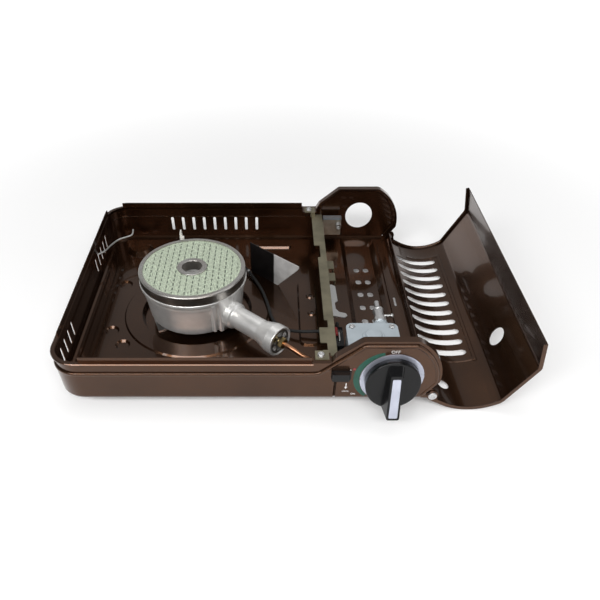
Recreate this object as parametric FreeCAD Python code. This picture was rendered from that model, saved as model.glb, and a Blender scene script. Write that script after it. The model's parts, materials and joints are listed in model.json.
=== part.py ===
"""Portable gas cartridge stove with a round ceramic burner, lid of the cartridge bay swung open.

All sizes are millimetres. While the pieces are made, X runs from the left wall, Y from the front
wall and Z from the table. At the end everything moves so that the origin is the centre of the
footprint.
"""
import FreeCAD, Part
import math
import os

os.makedirs("parts", exist_ok=True)
V = FreeCAD.Vector

# Overall body
BODY_LENGTH = 345.5
BODY_DEPTH = 277.0
SHEET = 0.8
SEAT = 0.3
FLOOR_Z = 15.0
RIM_Z = 57.0
CORNER_R = 25.0
BOTTOM_EDGE = 3.0
BEAD_Z = 44.5
BEAD_R = 2.0
BEAD_SUNK = 1.2
BEAD_HOLLOW_R = 1.2
SETBACK = 1.3
LIP_GAP = 2.6
LIP_TOP = 62.0
FLOOR_TOP = FLOOR_Z + SHEET
SEAM_Z = FLOOR_Z + BOTTOM_EDGE + 0.5
MID_Y = BODY_DEPTH / 2
WALL_END_X = BODY_LENGTH - 114.5
FAR = BODY_LENGTH + 60.0

# Raised ends over the cartridge bay
HUMP_TOP = 81.0
HUMP_FLAT_LEFT = BODY_LENGTH - 73.5
HUMP_FLAT_RIGHT = BODY_LENGTH - 27.2
HUMP_ARC_R = 52.0
HUMP_ARC_TANGENT_Z = 64.7
HUMP_FOOT_X = BODY_LENGTH - 99.0
HUMP_SLOPE_X = BODY_LENGTH - 95.5
HUMP_SLOPE_Z = 63.5
HUMP_FLANGE = 8.0
FACE_INSET = 4.6
FACE_CUT_TOP_Z = 34.0
CUT_CORNER_X = BODY_LENGTH - 14.5
CUT_CORNER_TOP = (BODY_LENGTH - 0.9, FACE_CUT_TOP_Z + 0.6)
FACE_CUT_FOOT = (CUT_CORNER_X, 19.5)
EDGE_TOP_Z = FLOOR_Z + 10.0

# Cartridge bay
CARTRIDGE_R = 33.25
CARTRIDGE_X = BODY_LENGTH - 46.5
CARTRIDGE_Z = 45.3
TROUGH_TOP_HALF = 20.5
TROUGH_FLOOR_HALF = 15.0
TROUGH_DEPTH_Z = CARTRIDGE_Z - CARTRIDGE_R - 0.45
TROUGH_FRONT_Y = 36.0
TROUGH_BACK_Y = BODY_DEPTH - 3.0
TROUGH_END_SLOPE = 11.0
BACK_HOLE_R = 15.9

# Lid
LID_GAP = 0.5
LID_END_GAP = 0.1
LID_FLANGE = 3.6
LID_FOOT_Z = 19.5
LID_OPEN_DEG = 117.5
HINGE_X = BODY_LENGTH - 4.7
HINGE_Z = 18.9
HINGE_EAR_R = 5.2
HINGE_SCREW_R = 2.0
HINGE_RUNNING_GAP = 0.05
LID_VENTS = 11
LID_VENT_FIRST_Y = 78.0
LID_VENT_PITCH = 16.45
LID_VENT_WIDTH = 8.5
LID_VENT_LOW_Z = 47.0
LID_VENT_HIGH = (BODY_LENGTH - 15.7, 72.6)
LID_FRAME_MARGIN = 13.2
LID_FRAME_HALF = 1.3
LID_FRAME_RISE = 0.7
LID_FRAME_ARC = (9.0, 51.4)
LID_HOLE_R = 9.3
LID_HOLE_X = CARTRIDGE_X - 0.5
LID_HOLE_Y = 72.6
SIGHT_HOLE_R = 6.0
SIGHT_HOLE_Y = 30.0
SIGHT_HOLE_Z = 43.0

# Burner
BURNER_X = 115.5
BURNER_Y = 129.5
RING_TOP = 69.5
RING_FOOT = 60.0
PLAQUE_R = 50.0
RING_R = PLAQUE_R + 3.2
PLAQUE_T = 11.5
PLAQUE_TOP = RING_TOP - 1.0
PLAQUE_SEAT = 55.0
BUSH_R = 15.0
BUSH_BORE_R = 10.0
BUSH_WALL = 2.2
BOWL_BOTTOM = 20.0
BOWL_TOP_R = PLAQUE_R + 1.2
BOWL_FOOT_R = BOWL_TOP_R - 3.7
BOWL_FLANGE_R = RING_R + 0.6
BOWL_WALL = 2.4
TUBE_DEG = -41.5
TUBE_END = BOWL_FLANGE_R + 63.2
TUBE_Z = 38.0
TUBE_R = 11.0
FLARE_R = 15.0
FLARE_LENGTH = 15.0
RECESS_R = BOWL_FLANGE_R + 4.2
PLATEAU_R = RECESS_R + 18.0
PLATEAU_RISE = 1.5
RECESS_Z = 10.0

# Control knob
KNOB_X = CARTRIDGE_X + 1.5
KNOB_Z = 40.5
KNOB_R = 24.0
KNOB_FACE_TOP = 7.0
KNOB_FACE_LOW = 13.5
KNOB_GRIP = 21.6
GRIP_SLOPE = 0.343
KNOB_GAP = 1.0
SPINDLE_R = 4.0
SPINDLE_GAP = 0.06
DIAL_R = 28.0

# Divider, lock lever and pusher
DIVIDER_X = CARTRIDGE_X - 45.6
DIVIDER_TOP = 52.0
DIVIDER_FRONT_Y = 16.0
DIVIDER_BACK_Y = BODY_DEPTH - 13.0
TAB_SCREW_X = DIVIDER_X - 15.4
TAB_SCREW_Y = 11.25
LEVER_X = DIVIDER_X - 2.0
LEVER_Z = 46.0
LEVER_T = 1.0
LEVER_TRAVEL = 12.0
LEVER_SLOT_W = 2.4
LINK_X = DIVIDER_X + 0.6
LINK_T = 1.2
PIN_Y = 30.0
PIN_Z = 33.5
PIN_R = 1.5
PUSHER_TRAVEL = 8.0
PUSHER_Y = BODY_DEPTH - 15.0

# Feet and the pressed dome that the taller foot stands under
DOME = (36.0, BODY_DEPTH - 29.0)
DOME_RISE = 4.2
FOOT_X = BODY_LENGTH - 79.5
FEET = [(35.0, 26.0, 0), (*DOME, DOME_RISE), (FOOT_X, 23.0, 0), (FOOT_X, BODY_DEPTH - 23.0, 0)]
FOOT_R = 9.0

# Gas pipe, ignition lead and spark electrode
PIPE_R = 2.2
PIPE_Y = 41.5
PIPE_Z = 26.0
OUTLET_X = DIVIDER_X + 6.1
STRIKER_X = DIVIDER_X + 6.3
CABLE_R = 1.6
CABLE_HOLE_Y = 84.5
CABLE_HOLE_Z = 24.0
BRACKET_Y = BURNER_Y + BOWL_FLANGE_R + 6.7
ELECTRODE_X = BURNER_X - 18.0
ELECTRODE_Y = BRACKET_Y + 5.0


# Outlines

def flat_xy(u, v, level):
    return V(u, v, level)


def flat_xz(u, v, level):
    return V(u, level, v)


def flat_yz(u, v, level):
    return V(level, u, v)


def corner(points, i):
    """Unit directions into and out of corner i, and the signed turn between them."""
    count = len(points)
    here = points[i]
    before = points[(i - 1) % count]
    after = points[(i + 1) % count]
    a = (here[0] - before[0], here[1] - before[1])
    b = (after[0] - here[0], after[1] - here[1])
    la = math.hypot(*a)
    lb = math.hypot(*b)
    a = (a[0] / la, a[1] / la)
    b = (b[0] / lb, b[1] / lb)
    turn = math.atan2(a[0] * b[1] - a[1] * b[0], a[0] * b[0] + a[1] * b[1])
    return a, b, turn


def path(points, place, level, closed):
    """Straight runs joined by arcs; each point is (u, v, corner radius)."""
    stops = []
    last = len(points) - 1
    for i, (u, v, radius) in enumerate(points):
        if radius <= 0 or (not closed and i in (0, last)):
            stops.append(((u, v),))
            continue
        a, b, turn = corner(points, i)
        cut = radius * math.tan(abs(turn) / 2)
        start = (u - a[0] * cut, v - a[1] * cut)
        end = (u + b[0] * cut, v + b[1] * cut)
        bis = (b[0] - a[0], b[1] - a[1])
        size = math.hypot(*bis)
        reach = radius / math.cos(turn / 2) - radius
        mid = (u + bis[0] / size * reach, v + bis[1] / size * reach)
        stops.append((start, mid, end))
    edges = []
    for i, stop in enumerate(stops):
        if len(stop) == 3:
            edges.append(Part.Arc(*[place(p[0], p[1], level) for p in stop]).toShape())
        if i == last and not closed:
            break
        follow = stops[(i + 1) % len(stops)]
        p = place(*stop[-1], level)
        q = place(*follow[0], level)
        if (p - q).Length > 1e-6:
            edges.append(Part.makeLine(p, q))
    return Part.Wire(edges)


def outline(points, place=flat_xz, level=0.0):
    return path(points, place, level, True)


def offset(points, gap, closed=False):
    """The same path moved to the left of its direction of travel; arcs keep their centres."""
    moved = []
    last = len(points) - 1
    for i, (u, v, radius) in enumerate(points):
        a, b, turn = corner(points, i)
        if not closed and i == 0:
            a, turn = b, 0.0
        if not closed and i == last:
            b, turn = a, 0.0
        normal = (-(a[1] + b[1]) / 2, (a[0] + b[0]) / 2)
        size = normal[0] ** 2 + normal[1] ** 2
        side = 1 if turn > 0 else -1
        new_radius = max(radius - side * gap, 0.05) if radius > 0 else 0.0
        moved.append((u + normal[0] / size * gap, v + normal[1] / size * gap, new_radius))
    return moved


def band(points, near, far, place=flat_xz, level=0.0):
    """Closed outline between two parallels of an open path."""
    one = path(offset(points, near), place, level, False)
    two = path(offset(points, far), place, level, False)
    ends_one = (one.OrderedVertexes[0].Point, one.OrderedVertexes[-1].Point)
    ends_two = (two.OrderedVertexes[0].Point, two.OrderedVertexes[-1].Point)
    caps = [Part.makeLine(ends_one[0], ends_two[0]), Part.makeLine(ends_one[1], ends_two[1])]
    return Part.Wire(Part.__sortEdges__(one.Edges + two.Edges + caps))


def prism(wire, direction):
    return Part.Face(wire).extrude(direction)


def block(x0, x1, y0, y1, z0, z1):
    return Part.makeBox(x1 - x0, y1 - y0, z1 - z0, V(x0, y0, z0))


def rounded_block(x0, x1, y0, y1, z0, z1, radius):
    """Block whose upright edges are rounded."""
    plan = [(x0, y0, radius), (x1, y0, radius), (x1, y1, radius), (x0, y1, radius)]
    return prism(outline(plan, flat_xy, z0), V(0, 0, z1 - z0))


def turned(profile, x, y):
    """Revolves (radius, height, corner radius) points about an upright axis."""
    wire = outline(profile, flat_xz)
    solid = Part.Face(wire).revolve(V(0, 0, 0), V(0, 0, 1), 360)
    solid.translate(V(x, y, 0))
    return solid


def rod(x, y, z, radius, length, direction):
    return Part.makeCylinder(radius, length, V(x, y, z), direction)


def tube(points, radius):
    """Round bar along straight runs joined by arcs in space; prints its tightest bend."""
    edges = []
    start = V(*points[0])
    radii = []
    for i in range(1, len(points) - 1):
        before, here, after = (V(*points[i + k]) for k in (-1, 0, 1))
        a = (here - before).normalize()
        b = (after - here).normalize()
        turn = a.getAngle(b)
        run = min((here - before).Length, (after - here).Length)
        bend = 0.45 * run / math.tan(turn / 2)
        radii.append(bend)
        cut = 0.45 * run
        p, q = here - a * cut, here + b * cut
        bis = (b - a).normalize()
        mid = here + bis * (bend / math.cos(turn / 2) - bend)
        edges.append(Part.makeLine(start, p))
        edges.append(Part.Arc(p, mid, q).toShape())
        start = q
    edges.append(Part.makeLine(start, V(*points[-1])))
    wire = Part.Wire(edges)
    first = (V(*points[1]) - V(*points[0])).normalize()
    ring = Part.Wire(Part.makeCircle(radius, V(*points[0]), first))
    solid = wire.makePipeShell([ring], True, False)
    whole = math.pi * radius ** 2 * wire.Length
    print("tube length %.1f, tightest bend %.1f, volume ratio %.4f" % (
        wire.Length, min(radii) if radii else 0, solid.Volume / whole))
    return solid


def joined(pieces):
    whole = pieces[0].fuse(pieces[1:]) if len(pieces) > 1 else pieces[0]
    return whole.removeSplitter()


def mirrored(shape):
    """The same piece at the back end."""
    return shape.mirror(V(0, MID_Y, 0), V(0, 1, 0))


def long_slot(along, across, place, level, direction):
    """Slot with round ends: (low, high) along its length, (low, high) across it."""
    radius = 0.47 * min(along[1] - along[0], across[1] - across[0])
    plan = [(across[0], along[0], radius), (across[1], along[0], radius),
            (across[1], along[1], radius), (across[0], along[1], radius)]
    return prism(outline(plan, place, level), direction)


# Outlines shared by the raised ends and by the lid, drawn from the lower right round to the left
HUMP = [
    (BODY_LENGTH, LID_FOOT_Z, 0),
    (BODY_LENGTH, HUMP_ARC_TANGENT_Z, HUMP_ARC_R),
    (HUMP_FLAT_RIGHT, HUMP_TOP, 8),
    (HUMP_FLAT_LEFT, HUMP_TOP, 6),
    (HUMP_SLOPE_X, HUMP_SLOPE_Z, 0),
]
PANEL = [
    (WALL_END_X, SEAM_Z, 0),
    (CUT_CORNER_X + 2.0, SEAM_Z, 0),
    (*CUT_CORNER_TOP, 5),
    (BODY_LENGTH, HUMP_ARC_TANGENT_Z, HUMP_ARC_R - 4),
    (HUMP_FLAT_RIGHT, HUMP_TOP, 8),
    (HUMP_FLAT_LEFT, HUMP_TOP, 6),
    (HUMP_SLOPE_X, HUMP_SLOPE_Z, 5),
    (HUMP_FOOT_X, RIM_Z, 2),
    (WALL_END_X, RIM_Z, 0),
]
FACE_EDGE = [
    (WALL_END_X - 6, BEAD_Z, 0),
    (WALL_END_X + 5.0, BEAD_Z, 12),
    (HUMP_FLAT_LEFT + 1.7, HUMP_TOP - FACE_INSET, 6),
    *reversed(offset(HUMP, FACE_INSET)[1:3]),
    (BODY_LENGTH - FACE_INSET, FACE_CUT_TOP_Z, 3),
    (*FACE_CUT_FOOT, 0),
]


# Pressed body

def wall_plan(inset, z):
    """Open-ended plan of the walls: it runs past the right end, where it is trimmed."""
    far = BODY_LENGTH + 40
    radius = CORNER_R - inset
    return outline([
        (far, inset, 0), (far, BODY_DEPTH - inset, 0),
        (inset, BODY_DEPTH - inset, radius), (inset, inset, radius),
    ], flat_xy, z)


def wall_loft(extra, base):
    """Solid inside the walls, thinner by extra all round; the rim and the set-back zone show in it."""
    levels = [
        (BOTTOM_EDGE, base),
        (BOTTOM_EDGE * 0.3, base + BOTTOM_EDGE * 0.3),
        (0, base + BOTTOM_EDGE),
        (0, BEAD_Z - 0.3),
        (SETBACK, BEAD_Z + 0.6),
        (SETBACK, RIM_Z - 3.6),
        (-0.6, RIM_Z - 2.0),
        (-0.6, RIM_Z - 0.6),
        (0, RIM_Z),
    ]
    return Part.makeLoft([wall_plan(inset + extra, z) for inset, z in levels], True, True)


def pressed_up(body, bump):
    """Raises the sheet over a bump that starts at the floor's underside."""
    return body.fuse(bump).cut(bump.translated(V(0, 0, -SHEET)))


def pressed_down(body, dent):
    """Sinks the sheet under a dent that starts at the floor's upper side."""
    return body.fuse(dent.translated(V(0, 0, -SHEET))).cut(dent)


def rib(plan, top_plan, z, top_z):
    return Part.makeLoft([outline(plan, flat_xy, z), outline(top_plan, flat_xy, top_z)], True, True)


def box_plan(x0, x1, y0, y1, inset, radius):
    return [
        (x0 + inset, y0 + inset, radius), (x1 - inset, y0 + inset, radius),
        (x1 - inset, y1 - inset, radius), (x0 + inset, y1 - inset, radius),
    ]


def raised(x0, x1, y0, y1, radius, slope, height):
    """Raised field of the floor with sloping sides."""
    low = box_plan(x0, x1, y0, y1, 0, radius)
    high = box_plan(x0, x1, y0, y1, slope, max(radius - slope, 0.4))
    return rib(low, high, FLOOR_Z, FLOOR_TOP + height)


def floor_pressings():
    """Ribs along the left wall, pads, the round field under the burner and the dome over a foot."""
    pad_x = DIVIDER_X - 31.4
    bumps = [
        raised(3.6, 9.2, 50.0, 205.0, 2.4, 1.6, 1.8),
        raised(14.0, 23.4, 46.0, 212.0, 4.0, 2.4, 2.2),
        raised(168.0, 219.0, BODY_DEPTH - 27.5, BODY_DEPTH - 19.0, 4.2, 2.4, 2.2),
        raised(pad_x, pad_x + 22.0, 70.0, 180.0, 8.0, 2.4, 2.2),
        raised(CARTRIDGE_X + 22.5, CARTRIDGE_X + 26.5, 62.0, BODY_DEPTH - 17.0, 1.8, 1.4, 1.4),
    ]
    field = Part.makeCone(PLATEAU_R + 1.5, PLATEAU_R - 1.0, SHEET + PLATEAU_RISE,
                          V(BURNER_X, BURNER_Y, FLOOR_Z))
    bumps.append(field)
    bumps.append(Part.makeCone(17.0, 11.0, SHEET + DOME_RISE, V(*DOME, FLOOR_Z)))
    return bumps


def pad_bosses():
    """Two pierced nubs on the pad beside the divider."""
    pad_top = FLOOR_TOP + 2.2
    places = [(DIVIDER_X - 17.0, 151.2), (DIVIDER_X - 16.2, 121.3)]
    nubs = [Part.makeCone(5.0, 3.6, 1.6, V(x, y, pad_top - 0.2)) for x, y in places]
    holes = [Part.makeCylinder(1.9, 8.0, V(x, y, FLOOR_Z - 1)) for x, y in places]
    return nubs, holes


def burner_recess():
    """Sunk floor below the burner, from the top of the round field down."""
    top = FLOOR_TOP + PLATEAU_RISE
    low = RECESS_Z + SHEET
    return Part.makeCone(RECESS_R - 2.5, RECESS_R, top - low, V(BURNER_X, BURNER_Y, low))


def body_shell():
    """Pressed tray: floor, walls, rim ledge and lip. The raised ends are pieces of their own."""
    inner = wall_loft(SHEET, FLOOR_TOP)
    tray = wall_loft(0, FLOOR_Z).cut(inner)
    bead = bead_tube(BEAD_R).cut(inner).common(block(-5, WALL_END_X, -5, BODY_DEPTH + 5, 0, 100))
    tray = tray.fuse(bead).cut(bead_tube(BEAD_HOLLOW_R))
    tray = tray.cut(block(WALL_END_X, FAR, -5, BODY_DEPTH + 5, SEAM_Z, 100))
    tray = tray.cut(block(CUT_CORNER_X, FAR, -5, BODY_DEPTH + 5, 0, 100))

    # Ledge inside the rim and the lip that stands up from it
    ledge_z = RIM_Z - SHEET
    lip_in = LIP_GAP + SHEET
    ledge = Part.Face(wall_plan(0.3, ledge_z)).extrude(V(0, 0, SHEET))
    ledge = ledge.cut(Part.Face(wall_plan(lip_in, ledge_z - 1)).extrude(V(0, 0, 3)))
    ledge = ledge.common(block(-5, WALL_END_X, -5, BODY_DEPTH + 5, 0, 100))
    lip = Part.Face(wall_plan(LIP_GAP, ledge_z)).extrude(V(0, 0, LIP_TOP - ledge_z))
    lip = lip.cut(Part.Face(wall_plan(lip_in, ledge_z - 1)).extrude(V(0, 0, LIP_TOP)))
    front_run = block(29.0, WALL_END_X - 1, -1, 10, 0, 100)
    back_run = block(18.0, WALL_END_X - 1, BODY_DEPTH - 10, BODY_DEPTH + 1, 0, 100)
    left_run = block(-1, 9.0, 36.0, BODY_DEPTH - 21.0, 0, 100)
    lip = lip.common(joined([front_run, back_run, left_run]))

    # Low edge along the hinge side
    edge_x = CUT_CORNER_X + 5.6
    edge_path = [(CUT_CORNER_X - 6.0, FLOOR_Z, 0), (edge_x, FLOOR_Z, 8), (edge_x + 2.0, EDGE_TOP_Z, 0)]
    reach = SETBACK + SHEET
    edge = prism(band(edge_path, 0, SHEET, level=reach), V(0, BODY_DEPTH - 2 * reach, 0))

    body = tray.fuse([ledge, lip, edge])
    for bump in floor_pressings():
        body = pressed_up(body, bump)
    body = pressed_down(body, trough())
    body = pressed_down(body, burner_recess())
    for x, y in [(30.7, 176.5), (30.7, 95.8), (45.6, 74.0)]:
        body = pressed_down(body, Part.makeCone(5.5, 7.5, 2.0, V(x, y, FLOOR_TOP - 2.0)))
    nubs, holes = pad_bosses()
    return body.fuse(nubs).cut(joined_cutters() + holes).removeSplitter()


def end_panel():
    """Front raised end: sunk border, proud face inside the bead, and a flange turned inwards."""
    border = prism(outline(PANEL, level=SETBACK), V(0, SHEET, 0))
    lobe = [
        (CUT_CORNER_X, SEAM_Z, 0), (CUT_CORNER_X, FLOOR_Z, 0), (HINGE_X - 3.0, HINGE_Z - 4.0, 2),
        (HINGE_X + 5.0, HINGE_Z - 4.6, 4), (HINGE_X + 4.2, HINGE_Z + 4.4, 4), (CUT_CORNER_X + 5.0, 28.0, 0),
    ]
    border = border.fuse(prism(outline(lobe, level=SETBACK), V(0, SHEET, 0)))
    face_loop = FACE_EDGE + [(FACE_CUT_FOOT[0], 10.0, 0), (WALL_END_X - 6, 10.0, 0)]
    face_zone = prism(outline(face_loop, level=-1), V(0, 12, 0))
    panel_zone = prism(outline(PANEL, level=-1), V(0, 4, 0))
    proud = panel_zone.common(face_zone).common(block(0, FAR, 0, SHEET, 0, 100))
    hollow = face_zone.common(block(0, FAR, SHEET, 10, 0, 100))
    panel = border.cut(hollow).cut(proud).fuse(proud)

    # Rolled bead on the edge of the proud face
    beyond = block(0, FAR, SETBACK + SHEET, 20, 0, 100)
    span = block(WALL_END_X, FAR, -5, 20, SEAM_Z, 100)
    bead = bead_tube(BEAD_R).cut([hollow, beyond]).common(span)
    panel = panel.fuse(bead).cut(bead_tube(BEAD_HOLLOW_R))

    flange = prism(outline(PANEL, level=SETBACK), V(0, HUMP_FLANGE - SETBACK, 0))
    core = prism(outline(offset(PANEL, SHEET, True), level=SETBACK - 1), V(0, HUMP_FLANGE + 2, 0))
    flange = flange.cut(core).cut(block(0, HUMP_FOOT_X - 0.6, -5, 20, 0, 100))
    flange = flange.cut(block(0, FAR, -5, 20, 0, EDGE_TOP_Z + 1.0))
    screw_ledge = block(WALL_END_X, HUMP_FOOT_X, SETBACK, 15.0, RIM_Z - SHEET, RIM_Z)
    panel = joined([panel, flange, screw_ledge])
    hole = rod(HINGE_X, SETBACK - 1, HINGE_Z, HINGE_SCREW_R + 0.02, 4, V(0, 1, 0))
    return panel.cut(hole)


def front_panel():
    spindle_hole = rod(KNOB_X, -1, KNOB_Z, SPINDLE_R + 1.5, 12, V(0, 1, 0))
    return end_panel().cut([spindle_hole, lever_slot()])


def back_panel():
    hole = rod(CARTRIDGE_X, BODY_DEPTH - 12, CARTRIDGE_Z, BACK_HOLE_R, 20, V(0, 1, 0))
    return mirrored(end_panel()).cut(hole)


def lever_slot():
    half = LEVER_SLOT_W / 2
    return block(LEVER_X - half, LEVER_X + half, -4, BOTTOM_EDGE + 0.2, 0, LEVER_Z + 3.0)


def bead_tube(radius):
    """The bead's way round the walls and over both raised ends, as a round bar."""
    sunk = BEAD_SUNK
    rise = path(FACE_EDGE, flat_xz, sunk, False)
    start_x = FACE_EDGE[0][0]
    plan = path([
        (start_x, BODY_DEPTH - sunk, 0), (sunk, BODY_DEPTH - sunk, CORNER_R - sunk),
        (sunk, sunk, CORNER_R - sunk), (start_x, sunk, 0),
    ], flat_xy, BEAD_Z, False)
    back = rise.mirror(V(0, MID_Y, 0), V(0, 1, 0))
    wire = Part.Wire(Part.__sortEdges__(rise.Edges + plan.Edges + back.Edges))
    first = wire.OrderedVertexes[0].Point
    second = wire.OrderedVertexes[1].Point
    ring = Part.Wire(Part.makeCircle(radius, first, second - first))
    return wire.makePipeShell([ring], True, False)


def trough():
    """Dip in the floor that the cartridge lies in, with steep sides and a sloping end."""
    top = box_plan(CARTRIDGE_X - TROUGH_TOP_HALF, CARTRIDGE_X + TROUGH_TOP_HALF,
                   TROUGH_FRONT_Y, TROUGH_BACK_Y, 0, 5)
    low = box_plan(CARTRIDGE_X - TROUGH_FLOOR_HALF, CARTRIDGE_X + TROUGH_FLOOR_HALF,
                   TROUGH_FRONT_Y + 5, TROUGH_BACK_Y - TROUGH_END_SLOPE, 0, 3)
    return rib(low, top, TROUGH_DEPTH_Z, FLOOR_TOP)


def joined_cutters():
    """Vent slots in the walls, openings under the cartridge, the lid's catch slot and the lever's slot."""
    half, low, high = 1.6, 26.5, 43.0
    pitch = 12.75
    cutters = [lever_slot()]
    for i in range(9):
        x = 74.0 + pitch * i
        cutters.append(long_slot((low, high), (x - half, x + half), flat_xz, BODY_DEPTH - 5, V(0, 10, 0)))
    left_groups = [(37.5, 4, pitch), (BODY_DEPTH - 92.0, 5, 12.4)]
    for first, count, step in left_groups:
        for i in range(count):
            y = first + step * i
            cutters.append(long_slot((low, high), (y - half, y + half), flat_yz, -5, V(10, 0, 0)))
    for i in range(5):
        y = 116.1 + 23.7 * i
        for x in (CARTRIDGE_X - 5.4, CARTRIDGE_X + 5.4):
            cutters.append(rounded_block(x - 3.2, x + 3.2, y - 4.2, y + 4.2, 5, 14, 2.8))
    catch_x = CARTRIDGE_X + 29.5
    cutters.append(rounded_block(catch_x - 1.2, catch_x + 1.2, 137, 153, 10, 20, 1.0))
    return cutters


# Lid over the cartridge bay

def lid_closed():
    length = BODY_DEPTH - 2 * LID_END_GAP
    sheet = prism(band(HUMP, -LID_GAP, -LID_GAP - SHEET, level=LID_END_GAP), V(0, length, 0))
    flange_band = band(HUMP, LID_FLANGE - LID_GAP - SHEET, -LID_GAP - SHEET, level=LID_END_GAP)
    flange = prism(flange_band, V(0, SHEET, 0))
    ear_web = [
        (HINGE_X - HINGE_EAR_R, HINGE_Z, 0), (HINGE_X, HINGE_Z - HINGE_EAR_R, 0),
        (BODY_LENGTH + LID_GAP + SHEET, LID_FOOT_Z, 0), (BODY_LENGTH + LID_GAP + SHEET, 27.0, 0),
        (BODY_LENGTH - LID_FLANGE + LID_GAP + SHEET, 27.0, 3),
    ]
    ear = prism(outline(ear_web, level=LID_END_GAP), V(0, SHEET, 0))
    ear = ear.fuse(rod(HINGE_X, LID_END_GAP, HINGE_Z, HINGE_EAR_R, SHEET, V(0, 1, 0)))
    end = flange.fuse(ear)
    end = end.cut(rod(HINGE_X, -1, HINGE_Z, HINGE_SCREW_R + HINGE_RUNNING_GAP, 4, V(0, 1, 0)))
    lid = joined([sheet, end, mirrored(end)])
    outer_r = HUMP_ARC_R + LID_GAP + SHEET
    hollow_half = LID_FRAME_HALF - SHEET * math.tan(math.radians(22.5))
    ridge = lid_frame(LID_FRAME_HALF, outer_r - SHEET - LID_FRAME_RISE, outer_r - SHEET / 2)
    hollow = lid_frame(hollow_half, outer_r - LID_FRAME_RISE, outer_r + 1.0)
    lid = lid.fuse(ridge).cut(hollow)
    cutters = [lid_vent(LID_VENT_FIRST_Y + LID_VENT_PITCH * i) for i in range(LID_VENTS)]
    cutters.append(rod(LID_HOLE_X, LID_HOLE_Y, HUMP_TOP - 3, LID_HOLE_R, 10, V(0, 0, 1)))
    cutters.append(rod(BODY_LENGTH - 5, SIGHT_HOLE_Y, SIGHT_HOLE_Z, SIGHT_HOLE_R, 12, V(1, 0, 0)))
    return lid.cut(Part.makeCompound(cutters))


LID_ARC_CENTRE = (BODY_LENGTH - HUMP_ARC_R, 0.0, 35.25)


def lid_frame(half, low_r, high_r):
    """Pressed line round three sides of the vents: bars with sides at 45 degrees, narrowest at low_r."""
    front_y = LID_VENT_FIRST_Y - LID_FRAME_MARGIN
    back_y = LID_VENT_FIRST_Y + LID_VENT_PITCH * (LID_VENTS - 1) + LID_FRAME_MARGIN - 4.0
    low_deg, top_deg = LID_FRAME_ARC
    centre = V(*LID_ARC_CENTRE)
    wide = half + high_r - low_r
    profile = [(low_r, -half), (low_r, half), (high_r, wide), (high_r, -wide), (low_r, -half)]

    bars = []
    for y in (front_y, back_y):
        face = Part.Face(Part.makePolygon([centre + V(r, y + across, 0) for r, across in profile]))
        face.rotate(centre, V(0, 1, 0), -low_deg)
        bars.append(face.revolve(centre, V(0, 1, 0), low_deg - top_deg))
    face = Part.Face(Part.makePolygon([centre + V(r, front_y - wide, across) for r, across in profile]))
    face.rotate(centre, V(0, 1, 0), -top_deg)
    bars.append(face.extrude(V(0, back_y - front_y + 2 * wide, 0)))
    return bars[0].fuse(bars[1:])


def lid_vent(y):
    """Slot with round ends, cut through the lid's curve along a slanting line of sight."""
    low = V(BODY_LENGTH - 1.0, y, LID_VENT_LOW_Z)
    high = V(LID_VENT_HIGH[0], y, LID_VENT_HIGH[1])
    along = (high - low).normalize()
    out = V(along.z, 0, -along.x)
    side = V(0, 1, 0)
    half = LID_VENT_WIDTH / 2
    reach = (high - low).Length
    centre_low = low + along * half
    centre_high = low + along * (reach - half)
    edges = [
        Part.makeLine(centre_low + side * half, centre_high + side * half),
        Part.Arc(centre_high + side * half, centre_high + along * half, centre_high - side * half).toShape(),
        Part.makeLine(centre_high - side * half, centre_low - side * half),
        Part.Arc(centre_low - side * half, centre_low - along * half, centre_low + side * half).toShape(),
    ]
    face = Part.Face(Part.Wire(edges))
    face.translate(out * -6)
    return face.extrude(out * 20)


def open_lid(shape):
    return shape.rotated(V(HINGE_X, 0, HINGE_Z), V(0, 1, 0), LID_OPEN_DEG)


def hinge_screw():
    """Shoulder screw: the lid's ear turns on it."""
    shank = rod(HINGE_X, -0.3, HINGE_Z, HINGE_SCREW_R, 5.0, V(0, 1, 0))
    head = rod(HINGE_X, -1.9, HINGE_Z, 4.0, 1.7, V(0, 1, 0))
    rim = [e for e in head.Edges if abs(e.CenterOfMass.y + 1.9) < 0.01 and e.Length > 6 * HINGE_SCREW_R]
    head = head.makeFillet(0.8, rim)
    recess = block(HINGE_X - 2.2, HINGE_X + 2.2, -3, -1.3, HINGE_Z - 0.4, HINGE_Z + 0.4)
    cross = block(HINGE_X - 0.4, HINGE_X + 0.4, -3, -1.3, HINGE_Z - 2.2, HINGE_Z + 2.2)
    return joined([shank, head]).cut(recess.fuse(cross))


# Burner

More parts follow.
